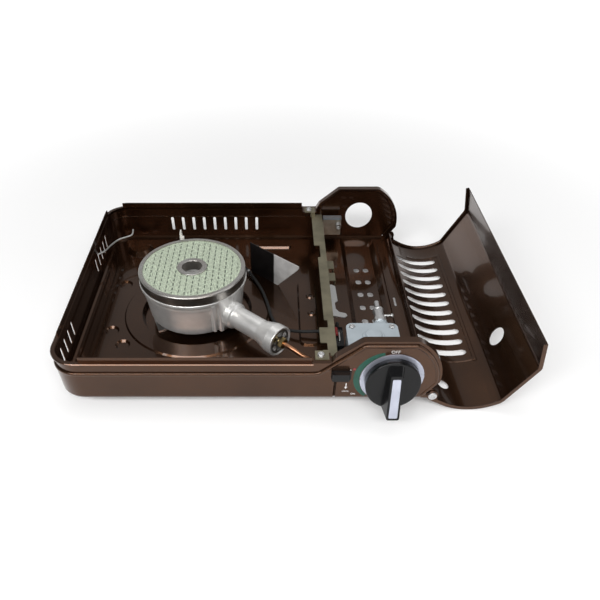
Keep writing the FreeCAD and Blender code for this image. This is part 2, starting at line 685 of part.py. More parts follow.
def burner_bowl():
    """Die-cast bowl with a flange, a centre tube and a mixing tube that leaves through a square boss."""
    inner_r = BUSH_BORE_R + BUSH_WALL
    seat_r = PLAQUE_R - 5.6
    outer = turned([
        (BUSH_BORE_R, BOWL_BOTTOM, 0), (BOWL_FOOT_R, BOWL_BOTTOM, 4), (BOWL_TOP_R, PLAQUE_SEAT - 4.0, 0.8),
        (BOWL_TOP_R + 0.8, PLAQUE_SEAT - 3.4, 0.6), (BOWL_TOP_R + 0.8, PLAQUE_SEAT, 1.2),
        (BOWL_FLANGE_R, RING_FOOT - 2.8, 0.8), (BOWL_FLANGE_R, RING_FOOT, 0.8),
        (PLAQUE_R + 2.0, RING_FOOT, 0), (PLAQUE_R + 2.0, RING_FOOT + 1.5, 0),
        (PLAQUE_R + 0.6, RING_FOOT + 1.5, 0),
        (PLAQUE_R + 0.6, PLAQUE_SEAT, 0), (BUSH_BORE_R, PLAQUE_SEAT, 0),
    ], BURNER_X, BURNER_Y)
    room = turned([
        (inner_r, BOWL_BOTTOM + BOWL_WALL, 1), (BOWL_FOOT_R - BOWL_WALL, BOWL_BOTTOM + BOWL_WALL, 3),
        (BOWL_TOP_R - BOWL_WALL, PLAQUE_SEAT - 6.5, 2), (seat_r, PLAQUE_SEAT - 3.5, 0),
        (seat_r, PLAQUE_SEAT + 1, 0), (inner_r, PLAQUE_SEAT + 1, 0),
    ], BURNER_X, BURNER_Y)
    centre_tube = turned([
        (BUSH_BORE_R, BOWL_BOTTOM, 0), (inner_r, BOWL_BOTTOM, 0), (inner_r, RING_FOOT - 0.5, 0),
        (BUSH_BORE_R, RING_FOOT - 0.5, 0),
    ], BURNER_X, BURNER_Y)
    start, straight = 30.0, TUBE_END - FLARE_LENGTH
    boss_end = BOWL_FLANGE_R + 4.5
    pipe = turned_along([
        (0, start, 0), (TUBE_R + 2.2, start, 0), (TUBE_R + 2.2, boss_end + 1.0, 0.8),
        (TUBE_R, boss_end + 2.6, 1.0), (TUBE_R, straight - 8, 8), (FLARE_R - 0.8, straight + 3, 5),
        (FLARE_R, straight + 6, 1), (FLARE_R, TUBE_END, 1), (0, TUBE_END, 0),
    ])
    bore = turned_along([
        (0, start - 1, 0), (TUBE_R - 2.4, start - 1, 0), (TUBE_R - 2.4, straight, 6),
        (FLARE_R - 2.0, TUBE_END + 0.5, 0), (0, TUBE_END + 0.5, 0),
    ])
    boss_start = BOWL_FOOT_R - 5.5
    boss_plan = [(boss_start, -15, 0), (boss_end, -15, 2), (boss_end, 15, 2), (boss_start, 15, 0)]
    boss = prism(outline(boss_plan, flat_xy, 24.0 - TUBE_Z), V(0, 0, RING_FOOT - 24.0))
    fin = Part.makeBox(6.0, 2.2, 30.0, V(BOWL_FOOT_R - 1.5, -21.5, 26.0 - TUBE_Z))
    bowl = joined([outer, pipe, tube_frame(boss), tube_frame(fin)]).cut(room)
    ring_room = turned([(PLAQUE_R + 0.6, PLAQUE_SEAT, 0), (PLAQUE_R + 0.6, RING_TOP, 0), (0, RING_TOP, 0),
                        (0, PLAQUE_SEAT, 0)], BURNER_X, BURNER_Y)
    bowl = bowl.cut([bore, ring_room]).fuse(centre_tube)
    return bowl.cut(rod(BURNER_X, BURNER_Y, 0, BUSH_BORE_R, 90, V(0, 0, 1))).removeSplitter()


def tube_frame(shape):
    """Places a shape made along +X from the burner's axis onto the mixing tube's axis."""
    shape.rotate(V(0, 0, 0), V(0, 0, 1), TUBE_DEG)
    shape.translate(V(BURNER_X, BURNER_Y, TUBE_Z))
    return shape


def turned_along(profile):
    """Revolves (radius, distance) points about the mixing tube's axis."""
    wire = outline([(far, radius, bend) for radius, far, bend in profile], flat_xy)
    return tube_frame(Part.Face(wire).revolve(V(0, 0, 0), V(1, 0, 0), 360))


def clamp_ring():
    inner = PLAQUE_R - 1.2
    ring = [
        (inner, RING_TOP - SHEET, 0), (RING_R - SHEET, RING_TOP - SHEET, 1), (RING_R - SHEET, RING_FOOT, 0),
        (RING_R, RING_FOOT, 0), (RING_R, RING_TOP, 1.6), (inner, RING_TOP, 0),
    ]
    return turned(ring, BURNER_X, BURNER_Y)


def ceramic_plaque():
    hole_r = BUSH_BORE_R + BUSH_WALL + 0.2
    low = PLAQUE_TOP - PLAQUE_T
    return turned([(hole_r, low, 0), (PLAQUE_R, low, 0), (PLAQUE_R, PLAQUE_TOP, 0), (hole_r, PLAQUE_TOP, 0)],
                  BURNER_X, BURNER_Y)


def plaque_gasket():
    top = PLAQUE_TOP - PLAQUE_T
    inner = PLAQUE_R - 5.6
    return turned([(inner, PLAQUE_SEAT, 0), (PLAQUE_R, PLAQUE_SEAT, 0), (PLAQUE_R, top, 0), (inner, top, 0)],
                  BURNER_X, BURNER_Y)


def centre_bush():
    top = RING_TOP + 0.2
    outer = BUSH_BORE_R + BUSH_WALL - 0.1
    return turned([
        (BUSH_BORE_R, RING_FOOT - 0.5, 0), (outer, RING_FOOT - 0.5, 0), (outer, top - 1.2, 0),
        (BUSH_R, top - 1.2, 0), (BUSH_R, top, 0.6), (BUSH_BORE_R, top, 0.6),
    ], BURNER_X, BURNER_Y)


def burner_bracket():
    """Bent strap under the bowl, its feet on the sunk floor, with a hole under the centre tube."""
    floor, top, t = RECESS_Z + SHEET, BOWL_BOTTOM, 1.2
    reach = BOWL_FOOT_R - 1.5
    strap = [(-reach, floor + t, 0), (11 - reach, floor + t, 1.5), (16 - reach, top, 1.5),
             (reach - 16, top, 1.5), (reach - 11, floor + t, 1.5), (reach, floor + t, 0)]
    solid = prism(band(strap, 0, -t, level=-15.0), V(0, 30, 0))
    solid = solid.cut(rod(0, 0, 0, BUSH_BORE_R + 0.6, 40, V(0, 0, 1)))
    solid.rotate(V(0, 0, 0), V(0, 0, 1), 20)
    solid.translate(V(BURNER_X, BURNER_Y, 0))
    return solid


def rear_bracket():
    """Upright sheet behind the bowl that carries the electrode, with two tabs bent back."""
    y, low, top = BRACKET_Y, FLOOR_TOP + PLATEAU_RISE, 50.0
    left, right = ELECTRODE_X - 5.5, ELECTRODE_X + 43.5
    upright = block(left, right, y, y + 1, low, top)
    foot = block(left + 9.5, right - 12.0, y, y + 8, low, low + 1)
    spans = [(33.0, 18.0), (14.0, 1.0)]
    tabs = [rounded_tab(right - start, right - end, y, y + 11, top - 1, top) for start, end in spans]
    arm = block(left, ELECTRODE_X + 5.5, y, y + 9, top - 1, top)
    window = block(right - 35.0, right - 13.0, y - 2, y + 2, 28.0, 42.0)
    sheet = joined([upright, foot, arm] + tabs).cut(window)
    return sheet.cut(rod(ELECTRODE_X, ELECTRODE_Y, 45, 2.6, 10, V(0, 0, 1)))


def rounded_tab(x0, x1, y0, y1, z0, z1):
    plan = [(x0, y0, 0), (x1, y0, 0), (x1, y1, 3), (x0, y1, 3)]
    return prism(outline(plan, flat_xy, z0), V(0, 0, z1 - z0))


def air_shutter():
    """Spoked disc in the mouth of the flare."""
    disc = tube_frame(Part.makeCylinder(FLARE_R - 2.8, 1.0, V(TUBE_END - 1.6, 0, 0), V(1, 0, 0)))
    disc = disc.cut(tube_frame(Part.makeCylinder(3.1, 4, V(TUBE_END - 3, 0, 0), V(1, 0, 0))))
    window = Part.Face(Part.Wire([
        Part.Arc(V(0, -2.2, 4.6), V(0, 0, 5.1), V(0, 2.2, 4.6)).toShape(),
        Part.makeLine(V(0, 2.2, 4.6), V(0, 4.4, 9.6)),
        Part.Arc(V(0, 4.4, 9.6), V(0, 0, 10.6), V(0, -4.4, 9.6)).toShape(),
        Part.makeLine(V(0, -4.4, 9.6), V(0, -2.2, 4.6)),
    ])).extrude(V(6, 0, 0))
    for i in range(6):
        piece = window.translated(V(TUBE_END - 4, 0, 0))
        piece.rotate(V(0, 0, 0), V(1, 0, 0), 60 * i)
        disc = disc.cut(tube_frame(piece))
    return disc


def gas_nozzle():
    body = Part.makeCylinder(3.0, 14.0, V(TUBE_END - 9, 0, 0), V(1, 0, 0))
    tip = Part.makeCone(1.2, 3.0, 4.0, V(TUBE_END - 13, 0, 0), V(1, 0, 0))
    points = [V(TUBE_END + 1.0, 5.5 * math.cos(math.radians(60 * i)), 5.5 * math.sin(math.radians(60 * i)))
              for i in range(7)]
    nut = Part.Face(Part.makePolygon(points)).extrude(V(4, 0, 0))
    return tube_frame(joined([body, tip, nut]))


def along_tube(distance, side, z):
    """Point at a distance along the mixing tube's axis, moved sideways."""
    angle = math.radians(TUBE_DEG)
    return (BURNER_X + distance * math.cos(angle) - side * math.sin(angle),
            BURNER_Y + distance * math.sin(angle) + side * math.cos(angle), z)


def gas_pipe():
    """Pipe from the regulator's outlet to the nozzle."""
    return tube([
        along_tube(TUBE_END + 5.0, 0, TUBE_Z), along_tube(TUBE_END + 14.0, 0, TUBE_Z),
        (DIVIDER_X - 31.4, PIPE_Y - 3.5, 34.0), (DIVIDER_X - 21.4, PIPE_Y - 6.0, 29.5),
        (DIVIDER_X - 10.4, PIPE_Y, PIPE_Z), (OUTLET_X, PIPE_Y, PIPE_Z),
    ], PIPE_R)


# Ignition

def spark_electrode():
    x, y = ELECTRODE_X, ELECTRODE_Y
    rod_part = rod(x, y, 40.0, 2.5, 24.0, V(0, 0, 1))
    collar = rod(x, y, 50.0, 3.6, 2.0, V(0, 0, 1))
    wire = tube([(x, y, 63.0), (x, y, 71.0), (x + 0.7, y - 6, 75.0), (x + 1.5, y - 16.5, 75.5)], 0.8)
    return joined([rod_part, collar, wire])


CABLE_ROUTE = [
    (ELECTRODE_X, ELECTRODE_Y, 40.0), (ELECTRODE_X, ELECTRODE_Y, 31.5), (103.0, ELECTRODE_Y + 9.0, 24.5),
    (124.0, 211.5, 20.6), (147.0, 213.5, 20.0), (164.0, 204.5, 20.0), (174.4, 183.6, 20.0),
    (183.9, 160.7, 20.0), (190.7, 133.6, 20.0), (195.1, 108.2, 20.0), (205.0, 92.0, 20.6),
    (DIVIDER_X - 31.4, 85.5, 22.4),
    (DIVIDER_X - 13.4, CABLE_HOLE_Y, CABLE_HOLE_Z), (DIVIDER_X + 3.6, CABLE_HOLE_Y, CABLE_HOLE_Z),
    (STRIKER_X + 1.3, 91.0, 28.0), (STRIKER_X, 86.0, 33.0), (STRIKER_X, 76.9, 33.0),
]


def ignition_cable():
    """Insulated lead from the striker, past the burner, to the electrode's foot."""
    return tube(CABLE_ROUTE, CABLE_R)


def cable_clip():
    """Folded steel tag that holds the lead beside the bowl."""
    a, b = (V(*p) for p in CABLE_ROUTE[5:7])
    along = (b - a).normalize()
    start = a + along * 9.6
    loop = Part.makeCylinder(CABLE_R + 1.2, 3.0, start, along)
    foot = Part.makeBox(3.0, 3.0, 0.8, V(0, -1.5, 0))
    leg = Part.makeBox(3.0, 1.0, start.z - FLOOR_TOP, V(0, -0.5, 0))
    seat = foot.fuse(leg)
    seat.rotate(V(0, 0, 0), V(0, 0, 1), math.degrees(math.atan2(along.y, along.x)))
    seat.translate(V(start.x, start.y, FLOOR_TOP))
    way = Part.makeCylinder(CABLE_R + SEAT, 8.0, start - along * 2, along)
    return joined([loop, seat]).cut(way)


def igniter_body():
    """Push-type spark striker with its plunger towards the knob."""
    case = rounded_block(STRIKER_X - 3.7, STRIKER_X + 3.7, 46.0, 74.0, 28.0, 38.0, 1.5)
    nose = rod(STRIKER_X, 38.0, 33.0, 2.5, 9.0, V(0, 1, 0))
    cap = rod(STRIKER_X, 73.5, 33.0, 3.4, 3.2, V(0, 1, 0))
    return joined([case, nose, cap])


# Regulator

REG_LEFT = CARTRIDGE_X - 34.0
REG_RIGHT = CARTRIDGE_X + 12.0
REG_FRONT = 20.0
REG_BACK = 60.0
REG_TOP = 50.0
DOME_X = CARTRIDGE_X - 11.0
DOME_Y = 42.0
DIAPHRAGM_T = 0.6
COVER_T = 2.4
COVER_SCREWS = [(x, y) for x in (REG_LEFT + 4.5, REG_RIGHT - 4.5) for y in (REG_FRONT + 5.0, REG_BACK - 4.5)]


def regulator_body():
    """Die-cast block with a diaphragm chamber on top, the spindle's bore in front and the inlet behind."""
    base = rounded_block(REG_LEFT, REG_RIGHT, REG_FRONT, REG_BACK, 25.0, REG_TOP, 5.0)
    neck = rod(CARTRIDGE_X, REG_BACK - 2, CARTRIDGE_Z - 4, 8.5, 12.0, V(0, 1, 0))
    nose = rod(KNOB_X, 12.0, KNOB_Z, 8.0, 10.0, V(0, 1, 0))
    outlet = rod(OUTLET_X, PIPE_Y, PIPE_Z, 3.6, 7.0, V(1, 0, 0))
    legs = [rounded_block(x, x + 7, 26.0, 34.0, FLOOR_TOP, 26.0, 2.0) for x in (REG_LEFT + 3, REG_RIGHT - 9)]
    body = joined([base, neck, nose, outlet] + legs)
    chamber = Part.makeCylinder(13.0, 9.0, V(DOME_X, DOME_Y, REG_TOP - 8.5))
    bore = rod(KNOB_X, 10.0, KNOB_Z, SPINDLE_R + SPINDLE_GAP, 20.0, V(0, 1, 0))
    return body.cut(chamber.fuse(bore))


def regulator_cover():
    low = REG_TOP + DIAPHRAGM_T
    top = low + COVER_T
    plate = rounded_block(REG_LEFT - 1, REG_RIGHT + 1, REG_FRONT - 1, REG_BACK + 1, low, top, 6.0)
    dome = turned([
        (0, top - 1, 0), (10.4, top - 1, 0), (10.0, top + 1.0, 0.6), (7.9, top + 1.0, 0.4),
        (7.3, top + 3.2, 1.0), (0, top + 3.4, 0),
    ], DOME_X, DOME_Y)
    holes = Part.makeCompound([Part.makeCylinder(1.6, 8, V(x, y, low - 3)) for x, y in COVER_SCREWS])
    return joined([plate, dome]).cut(holes)


def pan_screw(x, y, z, shank_r, depth, head_r):
    """Round-headed screw with a cross recess, head on the face at height z."""
    dome = [(0, z, 0), (head_r, z, 0), (head_r * 0.82, z + head_r * 0.55, 0.6), (0, z + head_r * 0.6, 0)]
    head = turned(dome, x, y)
    shank = Part.makeCylinder(shank_r, depth + 0.1, V(x, y, z - depth))
    arm = head_r * 0.55
    slot = block(x - arm, x + arm, y - 0.35, y + 0.35, z + head_r * 0.3, z + head_r)
    cross = block(x - 0.35, x + 0.35, y - arm, y + arm, z + head_r * 0.3, z + head_r)
    return joined([head, shank]).cut(slot.fuse(cross))


def cover_screws():
    top = REG_TOP + DIAPHRAGM_T + COVER_T
    return Part.makeCompound([pan_screw(x, y, top, 1.5, COVER_T - 0.1, 3.0) for x, y in COVER_SCREWS])


def diaphragm():
    sheet = rounded_block(REG_LEFT + 1, REG_RIGHT - 1, REG_FRONT + 1, REG_BACK - 1, REG_TOP,
                          REG_TOP + DIAPHRAGM_T, 4.0)
    holes = [Part.makeCylinder(1.8, 4, V(x, y, REG_TOP - 1)) for x, y in COVER_SCREWS]
    return sheet.cut(Part.makeCompound(holes))


# Inlet

INLET_Y = REG_BACK + 10.0
TIP_Y = INLET_Y + 20.0
TIP_R = 2.5
TIP_END_Y = INLET_Y + 33.0
SEAL_T = 1.6
SEAL_SEAT_R = 2.8


def inlet_spigot():
    """Stepped inlet that the cartridge's valve seats on."""
    big = rod(CARTRIDGE_X, INLET_Y, CARTRIDGE_Z, 6.0, 6.0, V(0, 1, 0))
    middle = rod(CARTRIDGE_X, INLET_Y + 6, CARTRIDGE_Z, 4.6, 14.0, V(0, 1, 0))
    seat = rod(CARTRIDGE_X, TIP_Y, CARTRIDGE_Z, SEAL_SEAT_R, SEAL_T, V(0, 1, 0))
    tip = rod(CARTRIDGE_X, TIP_Y, CARTRIDGE_Z, TIP_R, TIP_END_Y - TIP_Y, V(0, 1, 0))
    collar = rod(CARTRIDGE_X, TIP_Y - 1.5, CARTRIDGE_Z, 5.4, 1.5, V(0, 1, 0))
    bore = rod(CARTRIDGE_X, INLET_Y + 10, CARTRIDGE_Z, 0.9, 24.0, V(0, 1, 0))
    return joined([big, middle, collar, seat, tip]).cut(bore)


def inlet_seal():
    ring = rod(CARTRIDGE_X, TIP_Y, CARTRIDGE_Z, 4.6, SEAL_T, V(0, 1, 0))
    return ring.cut(rod(CARTRIDGE_X, TIP_Y - 1, CARTRIDGE_Z, SEAL_SEAT_R, 4.0, V(0, 1, 0)))


def guide_pin():
    """Cross pin that finds the notch in the cartridge's collar."""
    bar = rod(CARTRIDGE_X + 4.7, INLET_Y + 12, CARTRIDGE_Z, 1.2, 7.0, V(1, 0, 0))
    ball = Part.makeSphere(2.1, V(CARTRIDGE_X + 12.4, INLET_Y + 12, CARTRIDGE_Z))
    return joined([bar, ball])


# Knob

def on_grip(u, v, level):
    """Point on the grip's slanting front; level is its depth at the knob's middle."""
    return V(u, level + GRIP_SLOPE * (v - KNOB_Z), v)


def on_knob_face(u, v, level):
    slope = (KNOB_FACE_LOW - KNOB_FACE_TOP) / (2 * KNOB_R)
    return V(u, level + slope * (v - KNOB_Z), v)


def knob():
    """Round skirt, thicker below, with an upright slanting grip; hollow behind."""
    middle = (KNOB_FACE_TOP + KNOB_FACE_LOW) / 2
    ahead = prism(outline([
        (KNOB_X - 40, KNOB_Z - 40, 0), (KNOB_X + 40, KNOB_Z - 40, 0), (KNOB_X + 40, KNOB_Z + 40, 0),
        (KNOB_X - 40, KNOB_Z + 40, 0),
    ], on_knob_face, -middle), V(0, -40, 0))
    skirt = rod(KNOB_X, -KNOB_GAP, KNOB_Z, KNOB_R, KNOB_FACE_LOW + 2, V(0, -1, 0)).cut(ahead)
    rim = [e for e in skirt.Edges if e.Length > 100 and e.CenterOfMass.y < -KNOB_GAP - 2]
    skirt = skirt.makeFillet(1.4, rim)
    low = [(KNOB_X - 8.4, KNOB_Z - 23.6, 3), (KNOB_X + 8.4, KNOB_Z - 23.6, 3),
           (KNOB_X + 7.4, KNOB_Z + 22.6, 3), (KNOB_X - 7.4, KNOB_Z + 22.6, 3)]
    high = [(KNOB_X - 5.8, KNOB_Z - 22.6, 2), (KNOB_X + 5.8, KNOB_Z - 22.6, 2),
            (KNOB_X + 5.2, KNOB_Z + 17.0, 2), (KNOB_X - 5.2, KNOB_Z + 17.0, 2)]
    grip_foot = outline(low, on_knob_face, -middle + 2)
    grip = Part.makeLoft([grip_foot, outline(high, on_grip, -KNOB_GRIP)], True, True)
    back = rod(KNOB_X, -KNOB_GAP + 1, KNOB_Z, KNOB_R - 3, KNOB_FACE_TOP - 2, V(0, -1, 0))
    boss = rod(KNOB_X, -KNOB_GAP, KNOB_Z, 7.5, KNOB_FACE_TOP, V(0, -1, 0))
    socket = rod(KNOB_X, 1, KNOB_Z, SPINDLE_R, 11, V(0, -1, 0)).cut(spindle_flat())
    return joined([skirt.cut(back), grip, boss]).cut(socket).removeSplitter()


def knob_strip():
    """Plain silver strip set on the grip's front."""
    plan = [(KNOB_X - 3.8, KNOB_Z - 20.5, 1), (KNOB_X + 3.8, KNOB_Z - 20.5, 1),
            (KNOB_X + 3.5, KNOB_Z + 14.5, 1), (KNOB_X - 3.5, KNOB_Z + 14.5, 1)]
    return prism(outline(plan, on_grip, -KNOB_GRIP), V(0, -0.4, 0))


def spindle_flat():
    return block(KNOB_X - 6, KNOB_X + 6, -12.0, -2.0, KNOB_Z + 2.6, KNOB_Z + 6)


def valve_spindle():
    return rod(KNOB_X, 28.0, KNOB_Z, SPINDLE_R, 38.0, V(0, -1, 0)).cut(spindle_flat())


def dial_ring():
    """Thin bright ring behind the knob."""
    ring = rod(KNOB_X, 0, KNOB_Z, DIAL_R, 0.35, V(0, -1, 0))
    return ring.cut(rod(KNOB_X, 1, KNOB_Z, DIAL_R - 9, 3, V(0, -1, 0)))


# Lock lever and pusher

def lever_knob():
    """Small grip on a plate that slides over the front panel."""
    left = LEVER_X - 3.9
    plan = [(left, -6.0, 1.6), (left + 15.5, -6.0, 1.6), (left + 15.5, -1.6, 0), (left, -1.6, 0)]
    grip = prism(outline(plan, flat_xy, LEVER_Z - 4.0), V(0, 0, 8.0))
    plate = rounded_slab(left - 0.4, left + 17.0, LEVER_Z - 6.0, LEVER_Z + 4.5, -1.6, -0.4, 1.2)
    return joined([grip, plate]).cut(lever_stem_room())


def rounded_slab(x0, x1, z0, z1, y0, y1, radius):
    plan = [(x0, z0, radius), (x1, z0, radius), (x1, z1, radius), (x0, z1, radius)]
    return prism(outline(plan, flat_xz, y0), V(0, y1 - y0, 0))


def lever_stem_room():
    return block(LEVER_X - LEVER_T / 2, LEVER_X + LEVER_T / 2, -4.5, 1, LEVER_Z - 2.5, LEVER_Z + 2.5)


def lever_slider():
    """Upright plate with a slanting slot that drives the pusher's pin."""
    x = LEVER_X - LEVER_T / 2
    stem = block(x, x + LEVER_T, -4.5, 15.0, LEVER_Z - 2.5, LEVER_Z + 2.5)
    front, back, low, top = PIN_Y - 16.0, PIN_Y + 7.0, PIN_Z - 3.6, PIN_Z + 16.0
    plan = [(front, low, 2), (back, low, 3), (back, low + 9.6, 4), (PIN_Y - 0.5, top, 3), (front, top, 3)]
    plate = prism(outline(plan, flat_yz, x), V(LEVER_T, 0, 0))
    half = PIN_R + SEAT
    run = math.hypot(PUSHER_TRAVEL, LEVER_TRAVEL)
    slot = Part.makeBox(LEVER_T + 2, run, 2 * half, V(x - 1, 0, -half))
    slot.rotate(V(0, 0, 0), V(1, 0, 0), 180 - math.degrees(math.atan2(LEVER_TRAVEL, PUSHER_TRAVEL)))
    slot.translate(V(0, PIN_Y, PIN_Z))
    ends = [rod(x - 1, PIN_Y, PIN_Z, half, LEVER_T + 2, V(1, 0, 0)),
            rod(x - 1, PIN_Y - PUSHER_TRAVEL, PIN_Z + LEVER_TRAVEL, half, LEVER_T + 2, V(1, 0, 0))]
    return joined([stem, plate]).cut(joined([slot] + ends))


def pusher_link():
    """Steel strip along the divider with the drive pin, a hook by the inlet and a foot for the pusher."""
    bar = block(LINK_X, LINK_X + LINK_T, PIN_Y - 4.0, PUSHER_Y, PIN_Z - 3.5, PIN_Z + 3.5)
    pin = rod(LEVER_X - LEVER_T / 2 - 0.4, PIN_Y, PIN_Z, PIN_R, LINK_X - LEVER_X + LEVER_T + 0.4, V(1, 0, 0))
    riser = block(LINK_X, LINK_X + LINK_T, 80.0, 131.0, PIN_Z + 3.0, 47.0)
    x = LINK_X
    shelf = [
        (x, 80.0, 0), (x + 11.5, 77.0, 1), (x + 14.0, 80.0, 1), (x + 13.0, 83.6, 1), (x + 6.5, 86.0, 2),
        (x + 3.6, 91.0, 2), (x + 3.4, 100.5, 1), (x + 6.4, 103.5, 1), (x + 5.8, 128.0, 2),
        (x + 2.8, 131.0, 1), (x, 131.0, 0),
    ]
    top = prism(outline(shelf, flat_xy, 47.0 - LINK_T), V(0, 0, LINK_T))
    return joined([bar, pin, riser, top])


def pusher_plate():
    """Folded plate at the back of the bay that pushes the cartridge forward."""
    t = LINK_T
    left, right = LINK_X + LINK_T, CARTRIDGE_X - 22.0
    upright = rounded_slab(left, right, 28.0, 49.0, PUSHER_Y, PUSHER_Y + t, 1.0)
    top = block(left, right, PUSHER_Y, PUSHER_Y + 7.0, 49.0 - t, 49.0)
    tongue = block(left, left + t, PUSHER_Y - 16.0, PUSHER_Y + t, PIN_Z - 3.5, PIN_Z + 3.5)
    return joined([upright, top, tongue])


# Divider

def divider_plate():
    """Upright sheet between burner and bay, with a notched flange on top and screw tabs at both ends."""
    x, top = DIVIDER_X, DIVIDER_TOP
    front, back = DIVIDER_FRONT_Y, DIVIDER_BACK_Y
    web = block(x - SHEET, x, front, back, FLOOR_TOP, top)
    pin_way = long_slot((PIN_Y - PUSHER_TRAVEL - 2.2, PIN_Y + 2.2), (PIN_Z - 2.0, PIN_Z + 2.0),
                        lambda u, v, level: V(level, v, u), x - 3, V(6, 0, 0))
    windows = [rounded_window(196.0, 226.0, 24.0, 42.0, x), rounded_window(136.0, 166.0, 24.0, 39.0, x)]
    cable_way = rod(x - 3, CABLE_HOLE_Y, CABLE_HOLE_Z, CABLE_R + 1.8, 6, V(1, 0, 0))
    pipe_way = rod(x - 3, PIPE_Y, PIPE_Z, PIPE_R + 0.8, 6, V(1, 0, 0))
    plan = [
        (x, front, 0), (x, back, 0), (x - 12.2, back, 2), (x - 12.2, 196.5, 1), (x - 6.2, 196.5, 1),
        (x - 6.2, 173.0, 1), (x - 9.2, 173.0, 1), (x - 9.2, 66.0, 1), (x - 6.0, 66.0, 1), (x - 6.0, 55.0, 1),
        (x - 14.4, 55.0, 1), (x - 14.4, 33.5, 1), (x - 8.2, 33.5, 1), (x - 8.2, front, 0),
    ]
    flange = prism(outline(plan, flat_xy, top), V(0, 0, SHEET))
    tabs = [step_tab(5.5, 17.0, front), step_tab(BODY_DEPTH - 5.5, BODY_DEPTH - 17.0, back)]
    guide = [
        block(x, x + 8.6, 146.0, 183.0, 41.0, 41.0 + SHEET),
        block(x + 8.6 - SHEET, x + 8.6, 146.0, 183.0, 33.0, 41.0 + SHEET),
    ]
    sheet = joined([web, flange] + tabs + guide)
    notch = block(x + 2.5, x + 9, 160.0, 168.0, 30.0, 45.0)
    return sheet.cut(windows + [pin_way, cable_way, pipe_way, notch])


def rounded_window(y0, y1, z0, z1, x):
    return prism(outline([(y0, z0, 4), (y1, z0, 4), (y1, z1, 4), (y0, z1, 4)], flat_yz, x - 3), V(6, 0, 0))


def step_tab(y_end, y_in, y_joint):
    """Tab that rises from the flange to lie on the end panel's screw ledge."""
    x0, x1 = DIVIDER_X - 20.4, DIVIDER_X - 8.4
    flat = block(x0, x1, min(y_end, y_in), max(y_end, y_in), RIM_Z, RIM_Z + SHEET)
    wall_y = y_in - SHEET
    riser = block(x0 + 7, x1, wall_y, y_in + SHEET, DIVIDER_TOP, RIM_Z + SHEET)
    foot_low, foot_high = min(y_in, y_joint) - SHEET, max(y_in, y_joint) + SHEET
    foot = block(x0 + 7, x1 + 2, foot_low, foot_high, DIVIDER_TOP, DIVIDER_TOP + SHEET)
    screw = Part.makeCylinder(1.7, 10, V(TAB_SCREW_X, (y_end + y_in) / 2, RIM_Z - 5))
    return joined([flat, riser, foot]).cut(screw)


def divider_screws():
    places = (TAB_SCREW_Y, BODY_DEPTH - TAB_SCREW_Y)
    screws = [pan_screw(TAB_SCREW_X, y, RIM_Z + SHEET, 1.5, SHEET - 0.05, 3.4) for y in places]
    return Part.makeCompound(screws)


def heat_plate():
    """Folded sheet behind the burner: an upright wall and a three-cornered wing."""
    fold = (BURNER_X + 81.5, BURNER_Y + 49.5)
    left = (BURNER_X + 55.0, BURNER_Y + 74.0)
    tip = (BURNER_X + 107.5, BURNER_Y + 26.0)
    low, top, t = FLOOR_TOP, 52.0, SHEET
    plan = [(*left, 0), (*fold, 2.0), (*tip, 0)]
    sheet = prism(band(plan, 0, t, flat_xy, low), V(0, 0, top - low))
    length = math.hypot(tip[0] - fold[0], tip[1] - fold[1])
    under = [(6.0, low - 1, 0), (length + 5, low - 1, 0), (length + 5, top + 1, 0),
             (length - 0.5, top - 3, 1.5), (length - 1.6, top - 5, 0), (6.0, low + 0.4, 0)]
    cutter = prism(outline(under, level=-4), V(0, 8, 0))
    cutter.rotate(V(0, 0, 0), V(0, 0, 1), math.degrees(math.atan2(tip[1] - fold[1], tip[0] - fold[0])))
    cutter.translate(V(*fold, 0))
    foot = block(6, 26, 0.4, 7, 0, t)
    foot.rotate(V(0, 0, 0), V(0, 0, 1), math.degrees(math.atan2(fold[1] - left[1], fold[0] - left[0])))
    foot.translate(V(*left, low))
    return joined([sheet, foot]).cut(cutter)


def corner_wire():
    """Springy wire hook in the back left corner."""
    return tube([
        (1.9, 196.0, 42.0), (8.0, 203.0, 42.0), (11.5, 214.0, 42.0), (18.0, 227.0, 42.0), (27.0, 232.5, 42.0),
        (33.0, 236.0, 42.5), (33.0, 242.0, 46.0),
    ], 0.9)


def feet():
    shapes = []
    for x, y, rise in FEET:
        top = FLOOR_Z + rise
        shapes.append(turned([(0, 0, 0), (FOOT_R - 1.5, 0, 1), (FOOT_R, top, 0), (0, top, 0)], x, y))
    return Part.makeCompound(shapes)


NODES = {
    "body_shell": body_shell,
    "front_panel": front_panel,
    "back_panel": back_panel,
    "feet": feet,
    "divider_plate": divider_plate,
    "divider_screws": divider_screws,
    "burner_bowl": burner_bowl,
    "clamp_ring": clamp_ring,
    "ceramic_plaque": ceramic_plaque,
    "plaque_gasket": plaque_gasket,
    "centre_bush": centre_bush,
    "burner_bracket": burner_bracket,
    "rear_bracket": rear_bracket,
    "air_shutter": air_shutter,
    "gas_nozzle": gas_nozzle,
    "gas_pipe": gas_pipe,
    "spark_electrode": spark_electrode,
    "ignition_cable": ignition_cable,
    "cable_clip": cable_clip,
    "igniter_body": igniter_body,
    "regulator_body": regulator_body,
    "regulator_cover": regulator_cover,
    "cover_screws": cover_screws,
    "diaphragm": diaphragm,
    "inlet_spigot": inlet_spigot,
    "inlet_seal": inlet_seal,
    "guide_pin": guide_pin,
    "heat_plate": heat_plate,
    "corner_wire": corner_wire,
    "dial_ring": dial_ring,
    "knob": knob,
    "knob_strip": knob_strip,
    "valve_spindle": valve_spindle,
    "lever_knob": lever_knob,
    "lever_slider": lever_slider,
    "pusher_link": pusher_link,
    "pusher_plate": pusher_plate,
    "hinge_screws": lambda: Part.makeCompound([hinge_screw(), mirrored(hinge_screw())]),
    "lid": lambda: open_lid(lid_closed()),
}


